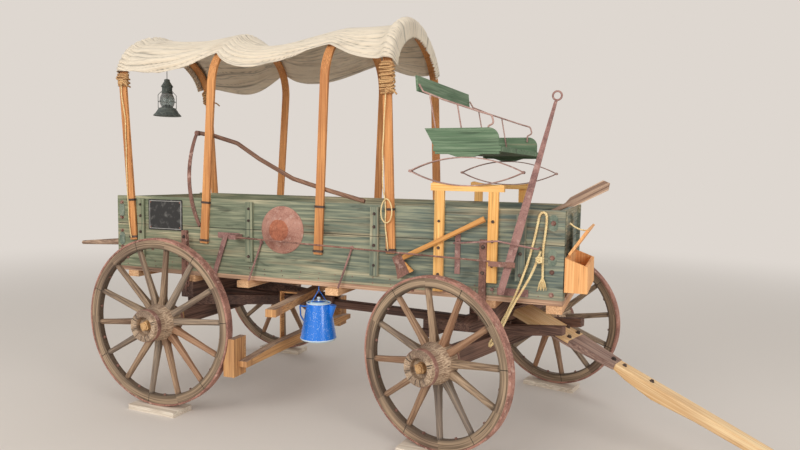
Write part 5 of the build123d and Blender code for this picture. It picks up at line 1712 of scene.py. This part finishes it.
@dataclass
class RunningGear:
    """Axles, bolsters, hounds, reach and tongue."""

    palette: Palette
    heads: Heads
    skein: float = 0.6825
    stake_foot: float = 0.92
    tongue_face: float = 0.025
    lap_bolts: Sequence[Duo] = (
        (0.09, -0.06), (0.17, -0.06), (0.09, 0.09), (0.17, 0.09), (0.48, 0.0), (0.56, 0.0), (0.75, 0.0),
    )
    stake_tops: Sequence[Duo] = ((-0.038, 1.370), (-WHEELBASE - 0.036, 1.320))
    stake_drops: Duo = (0.05, 0.22)

    def dress(self) -> None:
        """Finishes the undercarriage."""
        brown, nut = self.palette.brown, self.palette.nut
        front = brown("front_axle_wood", grain=Grain.ACROSS, turn=(0, 0, -STEER))
        rear = brown("rear_axle_wood", grain=Grain.ACROSS)
        middle = (KING_X, 0, 0)
        for name, timber, turn in (("front_axle", front, STEER), ("rear_axle", rear, 0.0)):
            wear([name], Ends(name + "_finish", timber, nut, middle, turn, self.skein).material())
        wear(["sand_bolster"], brown("sand_bolster_wood", grain=Grain.ACROSS, turn=(0, 0, -STEER)).material())
        bolster = brown("bolster_wood", grain=Grain.ACROSS)
        staked = Parted("staked_bolster", bolster, self.palette.rust, (0, 0, 1), self.stake_foot)
        wear(["front_bolster", "rear_bolster"], staked.material())
        wear(["front_hounds"], brown("hound_wood", turn=(0, 0, -STEER)).material())
        wear(["rear_hounds", "reach"], brown("reach_wood").material())
        wear(["king_pin"], self.palette.black_iron.material())
        along = unturned(TONGUE_SLOPE, STEER)
        fresh = tone(206, 160, 106), tone(244, 216, 170), tone(186, 146, 108)
        pole = Timber("pole_wood_fresh", *fresh, turn=along, age=0.35, bands=40.0)
        wear(["tongue_pole"], pole.material())
        red = tone(104, 74, 66), tone(176, 148, 132), tone(82, 60, 56)
        wear(["tongue_middle"], Timber("old_red_wood", *red, turn=along, age=1.0).material())
        pale = tone(196, 180, 160), tone(238, 228, 212), tone(170, 152, 136)
        wear(["wheel_boards"], Timber("pad_wood", *pale, age=0.3).material())

    def bolts(self) -> None:
        """Bolts through the tongue's laps and the bolsters' stakes."""
        iron = self.palette.black_iron.material()
        up = tongue_point(0, 0, 1) - tongue_point(0, 0, 0)
        laps = [(tongue_point(x, y, self.tongue_face), up) for x, y in self.lap_bolts]
        self.heads.build("tongue_bolts", laps, 0.016, 0.017, iron, "tongue")
        stakes = [
            (king(x, side * (SIDE_FACE + 0.024), top - drop), Vector((0, side, 0)))
            for x, top in self.stake_tops
            for side in (-1, 1)
            for drop in self.stake_drops
        ]
        self.heads.build("stake_bolts", stakes, 0.013, 0.015, iron)

    def build(self) -> None:
        """Dresses and bolts the gear."""
        self.dress()
        self.bolts()


@dataclass
class Wheel:
    """One wheel's finishes and tyre bolts.

    Args:
        palette: The shared finishes.
        name: The wheel's body.
        centre: Middle of its rim.
        turn: How far its axle is turned.
        side: 1 on the left and -1 on the right.
        radius: Its outer radius.
        spokes: How many spokes it has.
        first: Angle of one spoke.
        nose: Reach of its hub outside the rim's plane.
        dark: Dark and light tone of its wood.
        tyre_thickness: Its tyre's thickness, its felloes' depth and the gap between them.
    """

    palette: Palette
    name: str
    centre: Vector
    turn: float
    side: int
    radius: float
    spokes: int
    first: float
    nose: float
    dark: Colour = field(default_factory=lambda: tone(90, 74, 58))
    light: Colour = field(default_factory=lambda: tone(184, 158, 130))
    tyre_thickness: float = 0.014
    felloe_depth: float = 0.062
    fit: float = 0.0003

    def felloe_inner(self) -> float:
        """Radius of the felloes' inner face."""
        return self.radius - self.tyre_thickness - self.felloe_depth - self.fit

    def finish(self) -> WheelTimber:
        """Finish of this wheel's wood."""
        wood = Timber(self.name + "_wood", self.dark, self.light, tone(80, 58, 50), bands=30.0)
        place = self.centre, self.turn, self.side
        spokes = self.spokes, self.first, self.felloe_inner(), self.nose
        return WheelTimber(self.name + "_timber", wood, self.palette.rust, *place, *spokes)

    def bolts(self, heads: Heads) -> None:
        """Tyre bolts' nuts on the felloes' inner faces, one between every two spokes."""
        turn = Matrix.Rotation(self.turn, 3, "Z")
        spots = []
        for index in range(self.spokes):
            angle = self.first + math.tau * (index + 0.5) / self.spokes
            inward = turn @ Vector((-math.cos(angle), 0, -math.sin(angle)))
            spots.append((self.centre - inward * self.felloe_inner(), inward))
        material = self.palette.rust.material()
        heads.build(self.name + "_nuts", spots, 0.011, 0.013, material, self.name, "rusty_iron")

    def build(self, heads: Heads) -> None:
        """Dresses the wheel and sets its nuts."""
        finish = self.finish()
        wear([self.name + "_spokes"], finish.material())
        wear([self.name + "_hub"], finish.nave())
        wear([self.name + "_tyre"], self.palette.tyre.material())
        self.bolts(heads)


@dataclass
class Bows:
    """The bent bows with their staples."""

    palette: Palette
    crown_start: float = 2.74

    def build(self) -> None:
        """Dresses the bows."""
        steamed = tone(170, 106, 58), tone(232, 168, 104), tone(156, 98, 62)
        upper = (self.crown_start, Grain.ACROSS)
        wood = Timber("bow_wood", *steamed, grain=Grain.UPRIGHT, age=0.3, bands=60.0, upper=upper)
        wear([f"bow_{number}" for number in range(1, 5)], wood.material())
        wear(["bow_staples"], self.palette.black_iron.material())


@dataclass
class Seat:
    """The sprung seat on its new risers."""

    palette: Palette
    heads: Heads
    crossbar_bottom: float = 1.683
    riser_face: float = SIDE_FACE + 0.028
    # Columns: a riser's place, and its bolts' heights
    risers: Sequence[tuple[float, tuple[float, ...]]] = (
        (0.023, (1.20, 1.36, 1.49)),
        (-0.342, (1.12, 1.30, 1.48)),
    )

    def dress(self) -> None:
        """Finishes the seat."""
        upper = (self.crossbar_bottom, Grain.LENGTH)
        risers = self.palette.fresh("riser_wood", grain=Grain.UPRIGHT, upper=upper)
        wear(["seat_risers"], risers.material())
        green = {"rear": tone(86, 110, 82), "front": tone(88, 114, 86), "chalk": tone(142, 160, 132)}
        bare = tone(104, 92, 72), tone(182, 168, 138), tone(92, 84, 68)
        for node, grain in (("seat_tray", Grain.LENGTH), ("seat_back", Grain.ACROSS)):
            wood = Timber(node + "_wood", *bare, grain, (0.0, 0.0, -SEAT_SKEW))
            wear([node], WornPaint(node + "_paint", timber=wood, wear=-0.03, **green).material())
        wear(["seat_springs", "seat_irons"], self.palette.pale_rust.material())

    def bolts(self) -> None:
        """Bolts in the risers."""
        spots = [
            (king(x, side * self.riser_face, z), RIGHT * -side)
            for side in (-1, 1)
            for x, heights in self.risers
            for z in heights
        ]
        self.heads.build("riser_bolts", spots, 0.010, 0.013, self.palette.black_iron.material())

    def build(self) -> None:
        """Dresses and bolts the seat."""
        self.dress()
        self.bolts()


@dataclass(frozen=True)
class BeamTimber(Finish):
    """Beams greyed on top and at their ends, each with an upright block from the shoe's start outwards."""

    name: str
    wood: Timber
    grey: Timber
    end: float = 0.93
    shoe_start: float = 0.80
    grey_end: float = 0.012
    depth: float = 0.0016

    def look(self, shader: Shader, place: Wire) -> Look:
        """Works out the fresh wood, the block's grain and the grey over both."""
        grey = self.grey.look(shader, place)
        top = shader.node("ShaderNodeNewGeometry", output="Normal").axis(2).step(0.5, 0.8)
        across = abs(place.axis(1))
        block = across.past(self.shoe_start)
        shoe = replace(self.wood, grain=Grain.UPRIGHT).look(shader, place)
        fresh = shader.part(block, self.wood.look(shader, place), shoe)
        outer = across.step(self.end - self.grey_end, self.end) * (1 - block)
        return shader.part(top.maths("MAXIMUM", outer), fresh, grey)


@dataclass
class Brake:
    """The brake lever, its rod and irons, and the beams ahead of the rear wheels."""

    palette: Palette

    def build(self) -> None:
        """Dresses the brake."""
        maroon = Iron("maroon_rust", tone(116, 84, 80), tone(164, 124, 116), tone(200, 170, 160), 0.1, 0.5)
        wear(["brake_lever", "side_irons"], maroon.material())
        wear(["brake_rod"], self.palette.rust.material())
        fresh = tone(164, 110, 66), tone(222, 172, 114), tone(126, 96, 80)
        beams = Timber("beam_wood", *fresh, grain=Grain.ACROSS, age=0.7)
        grey = self.palette.grey("beam_grey", grain=Grain.ACROSS)
        wear(["brake_beams"], BeamTimber("beam_finish", beams, grey).material())


@dataclass
class Kit:
    """Tools and vessels hung on the wagon, and the box on its front."""

    palette: Palette
    lay: Lay
    pan_middle: Triple = (-1.555, 0.0, 1.362)
    pan_bottom: float = 0.080
    axe_slope: float = math.radians(27.2)
    axe_head: Triple = (-0.617, 0.0, 1.205)
    axe_eye: float = 0.033
    snath_slope: float = math.radians(27)
    lantern_foot: Triple = (-3.0455, 0.0, 2.262)
    # Radius and height pairs of the tank with its burner, the cap and the glass
    tank: Sequence[Duo] = (
        (0.002, 0), (0.062, 0), (0.066, 0.004), (0.118, 0.004), (0.118, 0.009), (0.098, 0.030),
        (0.078, 0.062), (0.072, 0.072), (0.052, 0.078), (0.040, 0.084), (0.030, 0.098), (0.012, 0.104),
        (0.002, 0.104),
    )
    cap: Sequence[Duo] = (
        (0.002, 0.196), (0.047, 0.200), (0.049, 0.206), (0.043, 0.214), (0.043, 0.252), (0.050, 0.258),
        (0.050, 0.264), (0.024, 0.306), (0.024, 0.322), (0.002, 0.330),
    )
    globe: Sequence[Duo] = (
        (0.047, 0.080), (0.058, 0.102), (0.064, 0.130), (0.063, 0.155), (0.055, 0.180), (0.045, 0.198),
    )
    glass_thickness: float = 0.002
    globe_top: float = 0.2
    guard_post: float = 0.0537
    guard_foot: float = 0.070
    guard_shoulder: float = 0.186
    guard_ring: Duo = (0.076, 0.128)
    bail: Duo = (0.326, 0.610)
    pot: Triple = (-1.270, -0.500, 0.566)
    pot_rims: Sequence[Duo] = ((0.1335, 0.010), (0.0895, 0.270))
    enamel_rims: Sequence[Duo] = ((0.560, 0.580), (0.832, 0.844))
    lid_height: float = 0.284
    knob: Sequence[Duo] = (
        (0.001, 0), (0.009, 0), (0.007, 0.008), (0.013, 0.014), (0.015, 0.021), (0.010, 0.028),
        (0.001, 0.030),
    )
    lid_rope_ends: tuple[Triple, Triple] = ((0.5076, -0.537, 1.500), (0.6185, -0.500, 1.4585))
    lid_rope_sag: float = 0.030

    def dress(self) -> None:
        """Finishes the tools."""
        planed = tone(220, 152, 92), tone(246, 190, 128), tone(190, 134, 88)
        box = Timber("jockey_wood", *planed, grain=Grain.UPRIGHT, age=0.3)
        wear(["jockey_box", "jockey_lid"], box.material())
        bottom = Iron("pan_bottom", tone(132, 74, 54), tone(178, 110, 82), tone(196, 140, 112), 0.0, 0.4)
        wall = Iron("pan_wall", tone(146, 98, 84), tone(184, 138, 122), tone(206, 176, 164), 0.0, 0.4)
        middle = king(*self.pan_middle)
        wear(["pan"], Basin("pan_rust", bottom, wall, (middle.x, middle.z), self.pan_bottom).material())
        cosine, sine = math.cos(self.axe_slope), math.sin(self.axe_slope)
        head = king(*self.axe_head)
        ash = tone(180, 118, 60), tone(226, 166, 94), tone(150, 100, 60)
        helve = Timber("helve", *ash, turn=unturned(-self.axe_slope), age=0.4)
        limit = head.x * cosine + head.z * sine + self.axe_eye
        axe = Parted("axe_finish", self.palette.rust, helve, (cosine, 0, sine), limit)
        wear(["axe"], axe.material())
        old = tone(98, 66, 50), tone(160, 122, 98), tone(84, 60, 50)
        snath = Timber("snath_wood", *old, turn=unturned(self.snath_slope))
        blade = Parted("scythe_finish", snath, self.palette.rust, (0, -1, 0), HALF_BOX + 0.0015)
        wear(["scythe"], blade.material())
        blue = tone(22, 118, 222), tone(190, 222, 240), tone(30, 32, 44)
        wear(["coffee_pot"], Enamel("blue_enamel", *blue, self.enamel_rims).material())

    def lantern(self) -> None:
        """A barn lantern: tank, burner, glass, guard wires, cap and bail."""
        foot = king(*self.lantern_foot)
        metal = Piece("lantern_metal", "wagon", "dark_iron", self.palette.tin.material())
        metal.lathe(foot, UP, self.tank, 32)
        metal.lathe(foot, UP, self.cap, 28)
        for across, along in ((-1, -1), (-1, 1), (1, -1), (1, 1)):
            side = Vector((across, along, 0)) * self.guard_post
            cap = Vector((across * 0.030, along * 0.030, 0.222))
            post = [foot + side + UP * self.guard_foot, foot + side + UP * self.guard_shoulder, foot + cap]
            metal.tube(post, 0.0026, 8)
        radius, height = self.guard_ring
        metal.hoop(foot + UP * height, radius, 0.0022, 28, 6)
        metal.tube([foot + UP * height for height in self.bail], 0.003, 8)
        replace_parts(metal.make(), "lantern")
        finish = Glass("lantern_glass", foot.z + self.globe_top).material()
        glass = Piece("lantern_globe", "wagon", "dark_iron", finish)
        inner = [(radius - self.glass_thickness, height) for radius, height in reversed(self.globe)]
        glass.turned_wall(foot, UP, [*self.globe, *inner], 36)
        glass.make(60)

    def pot_trim(self) -> None:
        """Rolled rims and lid knob of the coffee pot."""
        foot = king(*self.pot)
        white = Enamel("white_enamel", tone(214, 226, 232), tone(150, 190, 220), tone(40, 42, 52))
        trim = Piece("pot_rims", "wagon", "blue_enamel", white.material())
        for radius, height in self.pot_rims:
            trim.hoop(foot + UP * height, radius, 0.0032, 40, 8)
        trim.lathe(foot + UP * self.lid_height, UP, self.knob, 20)
        trim.make()

    def lid_rope(self) -> None:
        """Short rope that holds the front box's lid open from the corner post."""
        start, ring = (king(*spot) for spot in self.lid_rope_ends)
        path = bent(start, (start + ring) / 2 - UP * self.lid_rope_sag, ring, 24)
        mesh = self.lay.mesh("lid_rope", path, 0.010, 0.032, self.palette.jute.material())
        rope = linked("lid_rope", mesh)
        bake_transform(rope)

    def build(self) -> None:
        self.dress()
        self.lantern()
        self.pot_trim()
        self.lid_rope()


def main() -> None:
    """Builds the studio and each sub-assembly's looks in turn."""
    logging.basicConfig(level=logging.INFO, format="%(name)s: %(message)s")
    Studio().build()
    lay, heads, palette = Lay(), Heads(), Palette()
    Ropes(lay).build(palette.jute.material())
    Box(palette, heads).build()
    RunningGear(palette, heads).build()
    turn = math.radians
    front, rear = (0.559, 12), (0.626, 14)
    half = TRACK / 2
    wheels = (
        ("wheel_front_right", gear_point(0, -half, FRONT_AXLE), STEER, -1, *front, turn(7), 0.174),
        ("wheel_front_left", gear_point(0, half, FRONT_AXLE), STEER, 1, *front, turn(-19), 0.174),
        ("wheel_rear_right", king(-WHEELBASE, -half, REAR_AXLE), 0.0, -1, *rear, turn(5), 0.167),
        ("wheel_rear_left", king(-WHEELBASE, half, REAR_AXLE), 0.0, 1, *rear, turn(-12), 0.167),
    )
    for facts in wheels:
        Wheel(palette, *facts).build(heads)
    Bows(palette).build()
    Cover().build(Cloth().material())
    Lashings(lay).build(palette.tawny_rope.material())
    Seat(palette, heads).build()
    Brake(palette).build()
    Kit(palette, lay).build()


if __name__ == "__main__":
    main()
